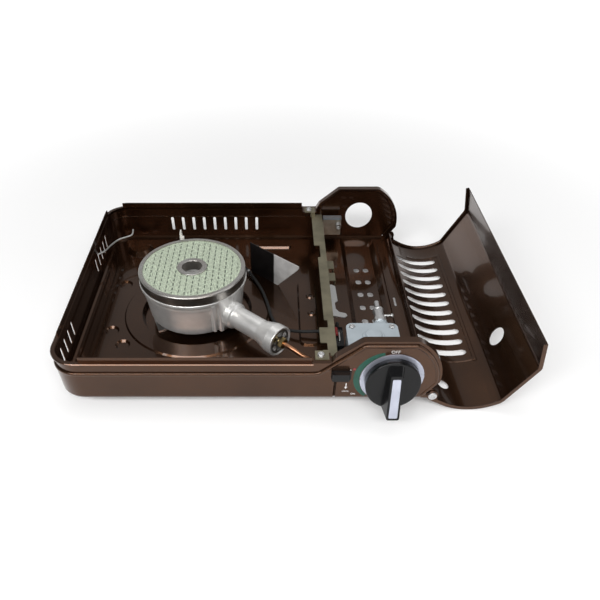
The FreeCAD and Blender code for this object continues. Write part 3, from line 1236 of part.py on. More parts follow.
def build():
    shapes = {name: make() for name, make in NODES.items()}
    boxes = [shape.optimalBoundingBox() for shape in shapes.values()]
    shift = V(
        -(min(b.XMin for b in boxes) + max(b.XMax for b in boxes)) / 2,
        -(min(b.YMin for b in boxes) + max(b.YMax for b in boxes)) / 2,
        0,
    )
    print("origin in the making frame: %.4f %.4f" % (-shift.x, -shift.y))
    for name, shape in shapes.items():
        shape.translate(shift)
        if not shape.isValid():
            print("not valid:", name)
        shape.exportStep("parts/%s.step" % name)
    return shapes, shift


SHAPES, SHIFT = build()
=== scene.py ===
"""Looks of a portable cassette stove with its lid open: finishes, markings, small trim, light and camera."""
import bmesh
import bpy
import json
import math
from mathutils import Matrix, Vector


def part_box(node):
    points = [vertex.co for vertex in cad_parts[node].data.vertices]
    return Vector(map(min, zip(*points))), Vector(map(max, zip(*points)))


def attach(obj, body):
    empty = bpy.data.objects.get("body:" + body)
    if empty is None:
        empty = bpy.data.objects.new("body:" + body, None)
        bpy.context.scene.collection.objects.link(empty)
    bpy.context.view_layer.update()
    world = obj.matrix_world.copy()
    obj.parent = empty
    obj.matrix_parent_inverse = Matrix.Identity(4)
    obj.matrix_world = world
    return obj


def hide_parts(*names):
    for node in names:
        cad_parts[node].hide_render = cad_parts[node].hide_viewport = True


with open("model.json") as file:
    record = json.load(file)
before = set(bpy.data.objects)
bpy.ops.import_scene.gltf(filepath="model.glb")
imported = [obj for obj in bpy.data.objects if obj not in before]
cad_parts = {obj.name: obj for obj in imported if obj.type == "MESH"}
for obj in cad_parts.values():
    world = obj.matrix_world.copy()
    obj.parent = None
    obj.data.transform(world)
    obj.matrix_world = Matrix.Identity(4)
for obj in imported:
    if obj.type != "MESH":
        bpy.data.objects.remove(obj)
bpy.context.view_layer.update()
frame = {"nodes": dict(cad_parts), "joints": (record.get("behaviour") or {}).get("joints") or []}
NODES = frame["nodes"]
JOINTS = {joint["name"]: joint for joint in frame["joints"]}

# The object's sizes and places are millimetres from the tray's left front corner, the room's are metres.
# The dial's middle lies on the front panel's face, so the knob's joint gives that corner.
MM = 0.001
DIAL = Vector(JOINTS["knob_turn"]["pos_m"])
DIAL_FROM_LEFT = 300.5
LEFT_X = JOINTS["knob_turn"]["pos_m"][0] - DIAL_FROM_LEFT * MM
FRONT_Y = JOINTS["knob_turn"]["pos_m"][1]


def at(x, y, z):
    """Millimetres from the left front corner, as a place in the shared frame."""
    return Vector((LEFT_X + x * MM, FRONT_Y + y * MM, z * MM))


def axis_of(node):
    """Foot, on the ground, of the upright axis through the middle of a round node."""
    low, high = (Vector(corner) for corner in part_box(node))
    middle = (low + high) / 2
    return Vector((middle.x, middle.y, 0))


BURNER = axis_of("clamp_ring")


# Shader nodes

def finish(name, tone, metallic=0.0, roughness=0.5):
    """New material with its shader, and the object coordinates that its patterns read."""
    mat = bpy.data.materials.new(name)
    mat.use_nodes = True
    tree = mat.node_tree
    shader = tree.nodes["Principled BSDF"]
    shader.inputs["Base Color"].default_value = (*tone, 1)
    shader.inputs["Metallic"].default_value = metallic
    shader.inputs["Roughness"].default_value = roughness
    place = tree.nodes.new("ShaderNodeTexCoord").outputs["Object"]
    return mat, tree, shader, place


def new_node(tree, kind, **values):
    """Shader node whose sockets and settings are given by name."""
    node = tree.nodes.new(kind)
    for key, value in values.items():
        if key in node.inputs:
            node.inputs[key].default_value = value
        else:
            setattr(node, key, value)
    return node


def stretched(tree, place, scale):
    """Coordinates squeezed along the axes, for rolled and drawn surfaces."""
    mapping = new_node(tree, "ShaderNodeMapping", Scale=scale)
    tree.links.new(place, mapping.inputs["Vector"])
    return mapping.outputs["Vector"]


def moved(tree, place, origin):
    """Coordinates counted from a place on the stove."""
    mapping = new_node(tree, "ShaderNodeMapping", Location=-origin)
    tree.links.new(place, mapping.inputs["Vector"])
    return mapping.outputs["Vector"]


def split(tree, vector):
    """X, Y and Z of a vector."""
    parts = new_node(tree, "ShaderNodeSeparateXYZ")
    tree.links.new(vector, parts.inputs[0])
    return parts.outputs


def noise(tree, place, scale, detail=3.0, rough=0.55):
    """Cloudy 0 to 1 value, finer as the scale rises."""
    node = new_node(tree, "ShaderNodeTexNoise", Scale=scale, Detail=detail, Roughness=rough)
    tree.links.new(place, node.inputs["Vector"])
    return node.outputs["Fac"]


def math_node(tree, operation, one, two=None):
    """Result of a sum on sockets or plain numbers."""
    node = new_node(tree, "ShaderNodeMath", operation=operation)
    for socket, value in zip(node.inputs, (one, two)):
        if value is None:
            continue
        if isinstance(value, (int, float)):
            socket.default_value = value
        else:
            tree.links.new(value, socket)
    return node.outputs[0]


def step(tree, value, low, high, at_low=0.0, at_high=1.0):
    """Smooth change from one number to another while the value goes from low to high."""
    node = new_node(tree, "ShaderNodeMapRange", interpolation_type="SMOOTHSTEP")
    limits = {"From Min": low, "From Max": high, "To Min": at_low, "To Max": at_high}
    for key, number in limits.items():
        node.inputs[key].default_value = number
    tree.links.new(value, node.inputs["Value"])
    return node.outputs["Result"]


def ramp(tree, value, low, high, start=0.3, end=0.7):
    """Colour between two tones, driven by a 0 to 1 value."""
    node = tree.nodes.new("ShaderNodeValToRGB")
    for element, position, tone in zip(node.color_ramp.elements, (start, end), (low, high)):
        element.position = position
        element.color = (*tone, 1)
    tree.links.new(value, node.inputs["Fac"])
    return node.outputs["Color"]


def mixed(tree, factor, low, high):
    """Colour that goes from one socket or plain colour to another as the factor rises."""
    mix = new_node(tree, "ShaderNodeMix", data_type="RGBA")
    tree.links.new(factor, mix.inputs["Factor"])
    for key, color in (("A", low), ("B", high)):
        if isinstance(color, tuple):
            mix.inputs[key].default_value = (*color, 1)
        else:
            tree.links.new(color, mix.inputs[key])
    return mix.outputs["Result"]


def shaded(tone, factor):
    """Darker or lighter tone."""
    return tuple(part * factor for part in tone)


def tint(tree, shader, value, low, high, start=0.3, end=0.7):
    """Base colour that drifts between two tones."""
    tree.links.new(ramp(tree, value, low, high, start, end), shader.inputs["Base Color"])


def roughen(tree, shader, value, low, high):
    """Roughness that drifts between two limits."""
    node = new_node(tree, "ShaderNodeMapRange")
    node.inputs["To Min"].default_value = low
    node.inputs["To Max"].default_value = high
    tree.links.new(value, node.inputs["Value"])
    tree.links.new(node.outputs["Result"], shader.inputs["Roughness"])


def bump(tree, shader, height, depth, strength):
    """Fine relief, its depth in metres."""
    node = new_node(tree, "ShaderNodeBump", Strength=strength, Distance=depth)
    tree.links.new(height, node.inputs["Height"])
    tree.links.new(node.outputs["Normal"], shader.inputs["Normal"])


# Finishes

def brown_enamel():
    """Metallic brown baked enamel: coppery flake under a clear glossy coat, slightly uneven in tone."""
    tone = (0.062, 0.0275, 0.0125)
    mat, tree, shader, place = finish("brown_enamel", tone, metallic=0.92)
    flake = noise(tree, place, scale=2600, detail=2.0)
    cloud = noise(tree, place, scale=9)
    glint = math_node(tree, "MULTIPLY", flake, cloud)
    tint(tree, shader, glint, shaded(tone, 0.7), shaded(tone, 1.5), start=0.12, end=0.4)
    roughen(tree, shader, cloud, 0.2, 0.29)
    shader.inputs["Coat Weight"].default_value = 0.5
    shader.inputs["Coat Roughness"].default_value = 0.06
    bump(tree, shader, noise(tree, place, scale=420, detail=2.0), depth=0.04 * MM, strength=0.3)
    return mat


def olive_sheet():
    """Passivated sheet steel, yellowish grey with faint blotches."""
    tone = (0.21, 0.19, 0.13)
    mat, tree, shader, place = finish("olive_sheet", tone, metallic=0.75)
    blotch = noise(tree, place, scale=60, detail=4.0)
    tint(tree, shader, blotch, shaded(tone, 0.72), shaded(tone, 1.2))
    grain = noise(tree, stretched(tree, place, (1.0, 0.05, 1.0)), scale=1800, detail=2.0)
    roughen(tree, shader, grain, 0.34, 0.55)
    bump(tree, shader, grain, depth=0.02 * MM, strength=0.5)
    return mat


def plated_steel(name="plated_steel", tone=(0.56, 0.56, 0.55), rough=0.3, metallic=1.0, grain=0.4):
    """Bright plated sheet or wire with rolling marks."""
    mat, tree, shader, place = finish(name, tone, metallic)
    marks = noise(tree, stretched(tree, place, (1.0, 1.0, 0.06)), scale=1500)
    tint(tree, shader, marks, shaded(tone, 0.8), shaded(tone, 1.12))
    roughen(tree, shader, marks, rough - 0.08, rough + 0.14)
    bump(tree, shader, noise(tree, place, scale=900, detail=2.0), depth=0.02 * MM, strength=grain)
    return mat


def silver_foil():
    """Smooth bluish silver foil with a faint drift of tone."""
    tone = (0.50, 0.52, 0.61)
    mat, tree, shader, place = finish("silver_foil", tone, metallic=0.7)
    drift = noise(tree, place, scale=60, detail=2.0)
    tint(tree, shader, drift, shaded(tone, 0.9), shaded(tone, 1.08))
    roughen(tree, shader, drift, 0.2, 0.3)
    bump(tree, shader, drift, depth=0.02 * MM, strength=0.1)
    return mat


def two_tone_sheet(name, axis, edge, low_tone, high_tone, rough, metallic=0.75):
    """Sheet steel that changes tone where it crosses a plane, such as at a fold."""
    blur = 1.0 * MM
    mat, tree, shader, place = finish(name, high_tone, metallic)
    along = split(tree, place)[axis]
    stain = noise(tree, place, scale=90, detail=4.0)
    height = math_node(tree, "ADD", along, math_node(tree, "MULTIPLY", stain, blur))
    low_side = ramp(tree, stain, shaded(low_tone, 0.7), shaded(low_tone, 1.3))
    high_side = ramp(tree, stain, shaded(high_tone, 0.8), shaded(high_tone, 1.15))
    color = mixed(tree, step(tree, height, edge, edge + blur), low_side, high_side)
    tree.links.new(color, shader.inputs["Base Color"])
    roughen(tree, shader, stain, rough - 0.06, rough + 0.1)
    bump(tree, shader, noise(tree, place, scale=900, detail=2.0), depth=0.02 * MM, strength=0.4)
    return mat


def spun_steel():
    """Pressed stainless rings of the burner, brushed round its axis and a little heat-tinted."""
    warm, clean = (0.42, 0.39, 0.36), (0.52, 0.51, 0.49)
    mat, tree, shader, place = finish("spun_steel", clean, metallic=1.0)
    rings = new_node(tree, "ShaderNodeTexWave", wave_type="RINGS", rings_direction="Z", Scale=900,
                     Distortion=1.5)
    tree.links.new(moved(tree, place, BURNER), rings.inputs["Vector"])
    tint(tree, shader, noise(tree, place, scale=35), warm, clean)
    roughen(tree, shader, rings.outputs["Fac"], 0.24, 0.34)
    bump(tree, shader, rings.outputs["Fac"], depth=0.01 * MM, strength=0.03)
    return mat


def cast_metal(name, tone, rough, metallic, pits=0.12):
    """Die-cast metal: matt skin with soft pits, whose depth is in millimetres."""
    mat, tree, shader, place = finish(name, tone, metallic)
    skin = noise(tree, place, scale=700, detail=4.0, rough=0.65)
    tint(tree, shader, noise(tree, place, scale=45), shaded(tone, 0.86), shaded(tone, 1.08))
    roughen(tree, shader, skin, rough - 0.06, rough + 0.1)
    bump(tree, shader, skin, depth=pits * MM, strength=0.5)
    return mat


DASH_COLUMN = 6.1 * MM
DASH_ROW = 7.3 * MM
DASH_SIDE = (0.05, 0.11)
DASH_END = (0.27, 0.38)
DASH_TONE = (0.07, 0.09, 0.07)
PLAQUE_BORDER = (46.0 * MM, 46.5 * MM)


def distance_to_middle(tree, cells):
    """How far a place lies from the middle of its cell, in cells."""
    return math_node(tree, "ABSOLUTE", math_node(tree, "SUBTRACT", math_node(tree, "FRACT", cells), 0.5))


def dashes(tree, place):
    """1 on the plaque's dark dashes: staggered columns of short strokes inside a border."""
    centred = new_node(tree, "ShaderNodeVectorMath", operation="SUBTRACT")
    centred.inputs[1].default_value = BURNER
    tree.links.new(place, centred.inputs[0])
    x, y = split(tree, centred.outputs[0])[:2]
    column = math_node(tree, "DIVIDE", x, DASH_COLUMN)
    shift = math_node(tree, "MULTIPLY", math_node(tree, "FLOOR", column), 0.5)
    row = math_node(tree, "ADD", math_node(tree, "DIVIDE", y, DASH_ROW), shift)
    across = step(tree, distance_to_middle(tree, column), *DASH_SIDE, at_low=1.0, at_high=0.0)
    along = step(tree, distance_to_middle(tree, row), *DASH_END, at_low=1.0, at_high=0.0)
    squares = math_node(tree, "ADD", math_node(tree, "MULTIPLY", x, x), math_node(tree, "MULTIPLY", y, y))
    radius = math_node(tree, "SQRT", squares)
    inside = step(tree, radius, *PLAQUE_BORDER, at_low=1.0, at_high=0.0)
    return math_node(tree, "MULTIPLY", math_node(tree, "MULTIPLY", across, along), inside)


def perforated_ceramic():
    """Pale green ceramic: close pin holes all over, painted dark as the shade inside them, and dark dashes in
    staggered columns inside a border.
    """
    tone = (0.44, 0.50, 0.385)
    mat, tree, shader, place = finish("perforated_ceramic", tone, roughness=0.85)
    holes = new_node(tree, "ShaderNodeTexVoronoi", feature="F1", Scale=760, Randomness=0.25)
    tree.links.new(place, holes.inputs["Vector"])
    # Pin holes painted dark as painted shade, mixed with a random grain
    painted_hole_shade = step(tree, holes.outputs["Distance"], 0.2, 0.5)
    grain = step(tree, noise(tree, place, scale=1150, detail=2.0, rough=0.7), 0.35, 0.65)
    hole_shade_and_grain = math_node(tree, "MULTIPLY", math_node(tree, "ADD", painted_hole_shade, grain), 0.5)
    base = ramp(tree, hole_shade_and_grain, shaded(tone, 0.3), shaded(tone, 1.55), end=0.8)
    dash = dashes(tree, place)
    tree.links.new(mixed(tree, dash, base, DASH_TONE), shader.inputs["Base Color"])
    bump(tree, shader, math_node(tree, "SUBTRACT", hole_shade_and_grain, dash), depth=0.4 * MM, strength=0.6)
    return mat


def glazed_porcelain():
    """White glazed porcelain, faintly clouded."""
    tone = (0.80, 0.78, 0.72)
    mat, tree, shader, place = finish("glazed_porcelain", tone, roughness=0.18)
    tint(tree, shader, noise(tree, place, scale=120), shaded(tone, 0.88), tone)
    bump(tree, shader, noise(tree, place, scale=500, detail=2.0), depth=0.04 * MM, strength=0.3)
    return mat


def moulded(name, tone, rough, grain=900):
    """Moulded plastic or rubber with a fine grain."""
    mat, tree, shader, place = finish(name, tone)
    shader.inputs["Specular IOR Level"].default_value = 0.3
    skin = noise(tree, place, scale=grain)
    tint(tree, shader, skin, shaded(tone, 0.8), shaded(tone, 1.35))
    roughen(tree, shader, skin, rough - 0.06, rough + 0.1)
    bump(tree, shader, skin, depth=0.05 * MM, strength=0.4)
    return mat


def drawn_metal(name, tone, rough):
    """Drawn or turned coloured metal, a little tarnished."""
    mat, tree, shader, place = finish(name, tone, metallic=1.0)
    tarnish = noise(tree, place, scale=160, detail=4.0)
    tint(tree, shader, tarnish, shaded(tone, 0.6), shaded(tone, 1.15))
    roughen(tree, shader, tarnish, rough - 0.06, rough + 0.16)
    bump(tree, shader, noise(tree, place, scale=1400, detail=2.0), depth=0.01 * MM, strength=0.5)
    return mat


def fibre_felt():
    """Pale heat-proof felt."""
    tone = (0.62, 0.58, 0.50)
    mat, tree, shader, place = finish("fibre_felt", tone, roughness=0.95)
    fuzz = noise(tree, place, scale=1200, detail=5.0)
    tint(tree, shader, fuzz, shaded(tone, 0.7), tone)
    bump(tree, shader, fuzz, depth=0.2 * MM, strength=0.6)
    return mat


def printed_ink(name, tone):
    """Screen-printed ink, slightly uneven."""
    mat, tree, shader, place = finish(name, tone, roughness=0.45)
    wear = noise(tree, place, scale=700)
    tint(tree, shader, wear, shaded(tone, 0.75), shaded(tone, 1.1))
    bump(tree, shader, wear, depth=0.02 * MM, strength=0.3)
    return mat


# Where the heat plate's upright side, painted near-black as shade, begins, and the pusher plate's top band
HEAT_FOLD_X = 197.0
PUSHER_FOLD_Z = 47.2

# The heat plate's upright side, left of its fold, is painted near-black as painted shade; its wing stays
# silver.
heat_sheet_painted_shade = two_tone_sheet("heat_sheet_painted_shade", "X", at(HEAT_FOLD_X, 0, 0).x, rough=0.45, metallic=0.15,
                            low_tone=(0.004, 0.003, 0.003), high_tone=(0.52, 0.51, 0.50))
pusher_sheet = two_tone_sheet("pusher_sheet", "Z", PUSHER_FOLD_Z * MM, rough=0.3,
                              low_tone=(0.32, 0.29, 0.24), high_tone=(0.30, 0.37, 0.43))
screw_steel = plated_steel("screw_steel", (0.62, 0.62, 0.62), rough=0.28, metallic=0.9, grain=0.1)
cast_aluminium = cast_metal("cast_aluminium", (0.84, 0.83, 0.81), rough=0.34, metallic=0.7)
cast_zinc = cast_metal("cast_zinc", (0.50, 0.56, 0.60), rough=0.32, metallic=0.6, pits=0.06)
black_plastic = moulded("black_plastic", (0.004, 0.004, 0.0045), rough=0.2)
black_rubber = moulded("black_rubber", (0.014, 0.014, 0.014), rough=0.6, grain=600)

FINISH_OF = {
    brown_enamel(): ["body_shell", "front_panel", "back_panel", "lid"],
    olive_sheet(): ["divider_plate"],
    plated_steel(): ["burner_bracket", "rear_bracket", "air_shutter", "cable_clip", "guide_pin",
                     "corner_wire", "lever_slider", "pusher_link"],
    heat_sheet_painted_shade: ["heat_plate"],
    pusher_sheet: ["pusher_plate"],
    screw_steel: ["divider_screws", "cover_screws", "hinge_screws", "inlet_spigot"],
    silver_foil(): ["dial_ring", "knob_strip"],
    spun_steel(): ["clamp_ring", "centre_bush"],
    cast_aluminium: ["burner_bowl"],
    cast_zinc: ["regulator_body", "regulator_cover"],
    perforated_ceramic(): ["ceramic_plaque"],
    glazed_porcelain(): ["spark_electrode"],
    black_plastic: ["knob", "lever_knob", "igniter_body"],
    black_rubber: ["feet", "inlet_seal", "diaphragm", "ignition_cable"],
    drawn_metal("turned_brass", (0.55, 0.42, 0.20), rough=0.26): ["gas_nozzle", "valve_spindle"],
    drawn_metal("copper_pipe", (0.55, 0.27, 0.15), rough=0.3): ["gas_pipe"],
    fibre_felt(): ["plaque_gasket"],
}
for mat, names in FINISH_OF.items():
    for name in names:
        for slot in NODES[name].material_slots:
            slot.material = mat


# Making of pieces

def set_down(name, mesh, body, mat):
    """Piece from a finished mesh, riding on a body and taking its finish from a slot."""
    mesh.materials.clear()
    mesh.materials.append(mat)
    piece = bpy.data.objects.new(name, mesh)
    bpy.context.scene.collection.objects.link(piece)
    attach(piece, body)
    return piece


def mesh_of(name, form):
    """Mesh of a finished form, its faces outwards."""
    bmesh.ops.recalc_face_normals(form, faces=form.faces[:])
    mesh = bpy.data.meshes.new(name)
    form.to_mesh(mesh)
    form.free()
    return mesh


def direction(degrees, right, up):
    """Unit vector turned from one axis towards another."""
    return right * math.cos(math.radians(degrees)) + up * math.sin(math.radians(degrees))


def without(mesh, cutter):
    """New mesh of one form less another."""
    items = [bpy.data.objects.new("carving", mesh), bpy.data.objects.new("cutter", cutter)]
    for item in items:
        bpy.context.scene.collection.objects.link(item)
    cut = items[0].modifiers.new("cut", "BOOLEAN")
    cut.operation = "DIFFERENCE"
    cut.solver = "EXACT"
    cut.object = items[1]
    bpy.context.view_layer.update()
    result = bpy.data.meshes.new_from_object(items[0].evaluated_get(bpy.context.evaluated_depsgraph_get()))
    for item in items:
        bpy.data.objects.remove(item)
    return result


TOUCHING = 0.01 * MM
FOLD_DEG = 28


def merged(name, mesh):
    """Copy of a mesh whose touching corners are one."""
    form = bmesh.new()
    form.from_mesh(mesh)
    bmesh.ops.remove_doubles(form, verts=form.verts[:], dist=TOUCHING)
    copy = bpy.data.meshes.new(name)
    form.to_mesh(copy)
    form.free()
    return copy


def carved(node, name, cutter, body):
    """Merged copy of a node's mesh with another closed form taken away, shaded smooth up to its folds."""
    result = without(merged(name, NODES[node].data), cutter)
    result.shade_smooth()
    result.set_sharp_from_angle(angle=math.radians(FOLD_DEG))
    piece = set_down(name, result, body, NODES[node].material_slots[0].material)
    even = piece.modifiers.new("even_shading", "WEIGHTED_NORMAL")
    even.keep_sharp = True
    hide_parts(node)


# Lid with its vents run on down the curve

LID_OPEN_DEG = -JOINTS["lid_hinge"]["range_deg"][0]
VENT_COUNT = 11
VENT_FIRST_Y = 78.0
VENT_PITCH = 16.45
VENT_WIDTH = 8.5
VENT_END_R = 4.146
VENT_FOOT_Z = 27.0
VENT_OVERLAP_Z = 55.0
VENT_X = (337.0, 352.0)


def vent_cutters():
    """Round-ended bars through the closed lid's wall, where its vents run on, turned to the open lid."""
    form = bmesh.new()
    wide, high = VENT_X[1] - VENT_X[0], VENT_OVERLAP_Z - VENT_FOOT_Z
    for i in range(VENT_COUNT):
        block = bmesh.ops.create_cube(form, size=MM)["verts"]
        bmesh.ops.scale(form, verts=block, vec=(wide, VENT_WIDTH, high))
        middle = at(VENT_X[0] + wide / 2, VENT_FIRST_Y + VENT_PITCH * i, VENT_FOOT_Z + high / 2)
        bmesh.ops.translate(form, verts=block, vec=middle)
    ends = [edge for edge in form.edges
            if all(abs(v.co.z - VENT_FOOT_Z * MM) < TOUCHING for v in edge.verts)
            and abs(edge.verts[0].co.y - edge.verts[1].co.y) < TOUCHING]
    bmesh.ops.bevel(form, geom=ends, offset=VENT_END_R * MM, offset_type="OFFSET", affect="EDGES", segments=6,
                    profile=0.5, material=-1)
    bmesh.ops.rotate(form, verts=form.verts[:], cent=JOINTS["lid_hinge"]["pos_m"],
                     matrix=Matrix.Rotation(math.radians(LID_OPEN_DEG), 3, "Y"))
    return mesh_of("vent_cutters", form)


carved("lid", "lid_pressing", vent_cutters(), body="lid")


# Burner bowl with the boss of its mixing tube trimmed to the flange

FLANGE_R = 53.8
TRIM_CLEARANCE = 0.05
BOSS_REACH = 8.0
BOSS_FOOT_Z = 22.0
BOSS_TOP_Z = 75.0
TUBE_DEG = -41.5
TUBE_Z = 38.0
COLLAR_R = 13.2
COLLAR_LENGTH = 160.0


def turned_ring(inner_r, outer_r, low_z, high_z):
    """Thick-walled cylinder about the burner's axis."""
    form = bmesh.new()
    outline = [(inner_r, low_z), (outer_r, low_z), (outer_r, high_z), (inner_r, high_z)]
    corners = [form.verts.new(BURNER + Vector((r * MM, 0, z * MM))) for r, z in outline]
    edges = [form.edges.new(pair) for pair in zip(corners, corners[1:] + corners[:1])]
    bmesh.ops.spin(form, geom=corners + edges, cent=BURNER, axis=(0, 0, 1), angle=2 * math.pi, steps=180,
                   use_merge=True)
    return mesh_of("boss_ring", form)


def tube_collar():
    """Round bar along the mixing tube, from the burner's axis outwards."""
    form = bmesh.new()
    bmesh.ops.create_cone(form, cap_ends=True, segments=64, radius1=COLLAR_R * MM, radius2=COLLAR_R * MM,
                          depth=COLLAR_LENGTH * MM)
    along = direction(TUBE_DEG, Vector((1, 0, 0)), Vector((0, 1, 0)))
    turn = along.to_track_quat("Z", "Y").to_matrix()
    bmesh.ops.rotate(form, verts=form.verts[:], cent=(0, 0, 0), matrix=turn)
    foot = BURNER + Vector((0, 0, TUBE_Z * MM))
    bmesh.ops.translate(form, verts=form.verts[:], vec=foot + along * COLLAR_LENGTH / 2 * MM)
    return mesh_of("collar", form)


boss_ring = turned_ring(FLANGE_R + TRIM_CLEARANCE, FLANGE_R + BOSS_REACH, BOSS_FOOT_Z, BOSS_TOP_Z)
carved("burner_bowl", "bowl_casting", without(boss_ring, tube_collar()), body="chassis")


# Marks printed on the front panel

PRINT_PROUD = 0.06
PRINT_DEPTH = 0.08
LETTER_DEPTH = 0.02


def lettering(name, word, x, z, width, mat):
    """Word printed on the front panel, centred and as wide as given."""
    curve = bpy.data.curves.new(name, "FONT")
    curve.body = word
    curve.align_x = "CENTER"
    curve.align_y = "CENTER"
    curve.extrude = LETTER_DEPTH / 2
    source = bpy.data.objects.new(name, curve)
    bpy.context.scene.collection.objects.link(source)
    bpy.context.view_layer.update()
    mesh = merged(name, bpy.data.meshes.new_from_object(source))
    bpy.data.objects.remove(source)
    bpy.data.curves.remove(curve)
    xs = [v.co.x for v in mesh.vertices]
    ys = [v.co.y for v in mesh.vertices]
    size = width * MM / (max(xs) - min(xs))
    mesh.transform(Matrix.Translation((-(max(xs) + min(xs)) / 2, -(max(ys) + min(ys)) / 2, 0)))
    mesh.transform(Matrix.Diagonal((size, size, PRINT_DEPTH * MM / LETTER_DEPTH, 1)))
    mesh.transform(Matrix.Rotation(math.radians(90), 4, "X"))
    mesh.transform(Matrix.Translation(at(x, PRINT_DEPTH / 2 - PRINT_PROUD, z)))
    return set_down(name, mesh, "chassis", mat)


def thicken(form):
    """Flat print on the panel made a closed skin, by pushing a copy of its faces back into the panel."""
    pushed = bmesh.ops.extrude_face_region(form, geom=form.faces[:], use_keep_orig=True)
    back = [item for item in pushed["geom"] if isinstance(item, bmesh.types.BMVert)]
    bmesh.ops.translate(form, verts=back, vec=(0, PRINT_DEPTH * MM, 0))


def printed_shape(name, corners, mat):
    """Small filled shape printed on the front panel."""
    form = bmesh.new()
    form.faces.new([form.verts.new(at(x, -PRINT_PROUD, z)) for x, z in corners])
    thicken(form)
    return set_down(name, mesh_of(name, form), "chassis", mat)


def bar(x, z, width, height):
    """Corners of an upright bar, from the middle of its foot."""
    return [(x - width / 2, z), (x + width / 2, z), (x + width / 2, z + height), (x - width / 2, z + height)]


def triangle(x, z, width, height):
    """Corners of a triangle, from the middle of its base. A negative height points down."""
    return [(x - width / 2, z), (x + width / 2, z), (x, z + height)]


BAND_MIDDLE_DEG = 167.0
BAND_INNER_R = 28.4
BAND_INNER_DEG = 58.0
BAND_OUTER_R = 29.33
BAND_OUTER_DEG = 65.6
BAND_SHIFT = 4.57
BAND_STEPS = 40


def dial_band(name, mat):
    """Crescent printed beside the knob: two arcs joined, the outer one about a shifted centre."""
    form = bmesh.new()
    right, up = Vector((1, 0, 0)), Vector((0, 0, 1))
    centre = DIAL - Vector((0, PRINT_PROUD * MM, 0))
    shifted = centre + direction(BAND_MIDDLE_DEG, right, up) * BAND_SHIFT * MM
    arcs = ((centre, BAND_INNER_R, BAND_INNER_DEG), (shifted, BAND_OUTER_R, BAND_OUTER_DEG))
    for hub, radius, half in arcs:
        start = form.verts.new(hub + direction(BAND_MIDDLE_DEG - half, right, up) * radius * MM)
        bmesh.ops.spin(form, geom=[start], cent=hub, axis=(0, -1, 0), angle=math.radians(2 * half),
                       steps=BAND_STEPS)
    bmesh.ops.bridge_loops(form, edges=form.edges[:])
    thicken(form)
    return set_down(name, mesh_of(name, form), "chassis", mat)


pale_ink = printed_ink("pale_ink", (0.80, 0.78, 0.77))
green_ink = printed_ink("green_ink", (0.008, 0.080, 0.052))
red_ink = printed_ink("red_ink", (0.30, 0.03, 0.035))
lettering("mark_off", "OFF", x=299.3, z=71.0, width=7.5, mat=pale_ink)
lettering("mark_on", "ON", x=268.3, z=21.2, width=4.2, mat=pale_ink)
lettering("mark_lock", "LOCK", x=261.3, z=24.6, width=6.0, mat=pale_ink)
dial_band("dial_band", green_ink)
printed_shape("mark_red", bar(x=266.7, z=50.2, width=2.0, height=2.6), red_ink)
printed_shape("mark_pointer", triangle(x=263.5, z=49.6, width=1.8, height=1.6), pale_ink)
printed_shape("arrow_shaft", bar(x=261.2, z=30.0, width=0.8, height=4.6), pale_ink)
printed_shape("arrow_head", triangle(x=261.2, z=30.0, width=3.0, height=-2.6), pale_ink)


# Spring on the pusher plate, and the striker's sleeve and terminal

WIRE_SIDES = 8
STEPS_A_TURN = 20
ROUNDED_SHARE = 0.4


def coil_spring(name, centre, radius, wire, pitch, turns, body, mat):
    """Helix of round wire along Y, its ends closed."""
    form = bmesh.new()
    bmesh.ops.create_circle(form, segments=WIRE_SIDES, radius=wire * MM)
    bmesh.ops.translate(form, verts=form.verts[:], vec=centre + Vector((radius * MM, 0, 0)))
    bmesh.ops.spin(form, geom=form.verts[:] + form.edges[:], cent=centre, axis=(0, 1, 0),
                   dvec=(0, pitch * MM / STEPS_A_TURN, 0), angle=2 * math.pi * turns,
                   steps=STEPS_A_TURN * turns)
    bmesh.ops.holes_fill(form, edges=form.edges[:], sides=WIRE_SIDES)
    return set_down(name, mesh_of(name, form), body, mat)


def capsule(name, start, end, radius, body, mat):
    """Round sleeve or terminal between two places, with rounded ends."""
    form = bmesh.new()
    along = end - start
    bmesh.ops.create_cone(form, cap_ends=True, segments=20, radius1=radius * MM, radius2=radius * MM,
                          depth=along.length)
    rims = [edge for edge in form.edges if any(len(face.verts) > 4 for face in edge.link_faces)]
    bmesh.ops.bevel(form, geom=rims, offset=ROUNDED_SHARE * radius * MM, offset_type="OFFSET", affect="EDGES",
                    segments=3, profile=0.5, material=-1)
    turn = along.to_track_quat("Z", "Y").to_matrix()
    bmesh.ops.rotate(form, verts=form.verts[:], cent=(0, 0, 0), matrix=turn)
    bmesh.ops.translate(form, verts=form.verts[:], vec=(start + end) / 2)
    return set_down(name, mesh_of(name, form), body, mat)


bright_wire = plated_steel("bright_wire")
red_sleeve = moulded("red_sleeve", (0.20, 0.02, 0.02), rough=0.4)
coil_spring("return_spring", at(273.6, 255.4, 41.5), radius=2.7, wire=0.4, pitch=1.7, turns=4, body="pusher",
            mat=bright_wire)
capsule("striker_sleeve", at(256.6, 70.5, 39.5), at(256.6, 60.0, 39.5), radius=1.6, body="chassis",
        mat=red_sleeve)
capsule("striker_tag", at(259.2, 64.0, 38.9), at(259.2, 52.0, 38.9), radius=1.0, body="chassis",
        mat=bright_wire)


# Floor, light and camera

FLOOR_HALF = 6.0
FLOOR_DROP = 0.2 * MM
FLOOR_TONE = (0.86, 0.86, 0.86)
FLOOR_GLOW = (0.14, 1.0)
FLOOR_GLOW_REACH = (0.3, 1.3)
WORLD_ON_OBJECT = 0.28
WORLD_CEILING = 0.10
WORLD_BACKDROP = 0.42
WHITE = (1, 1, 1, 1)
HORIZON_Z = (0.03, 0.25)
BACKDROP_Y = (0.1, 0.75)

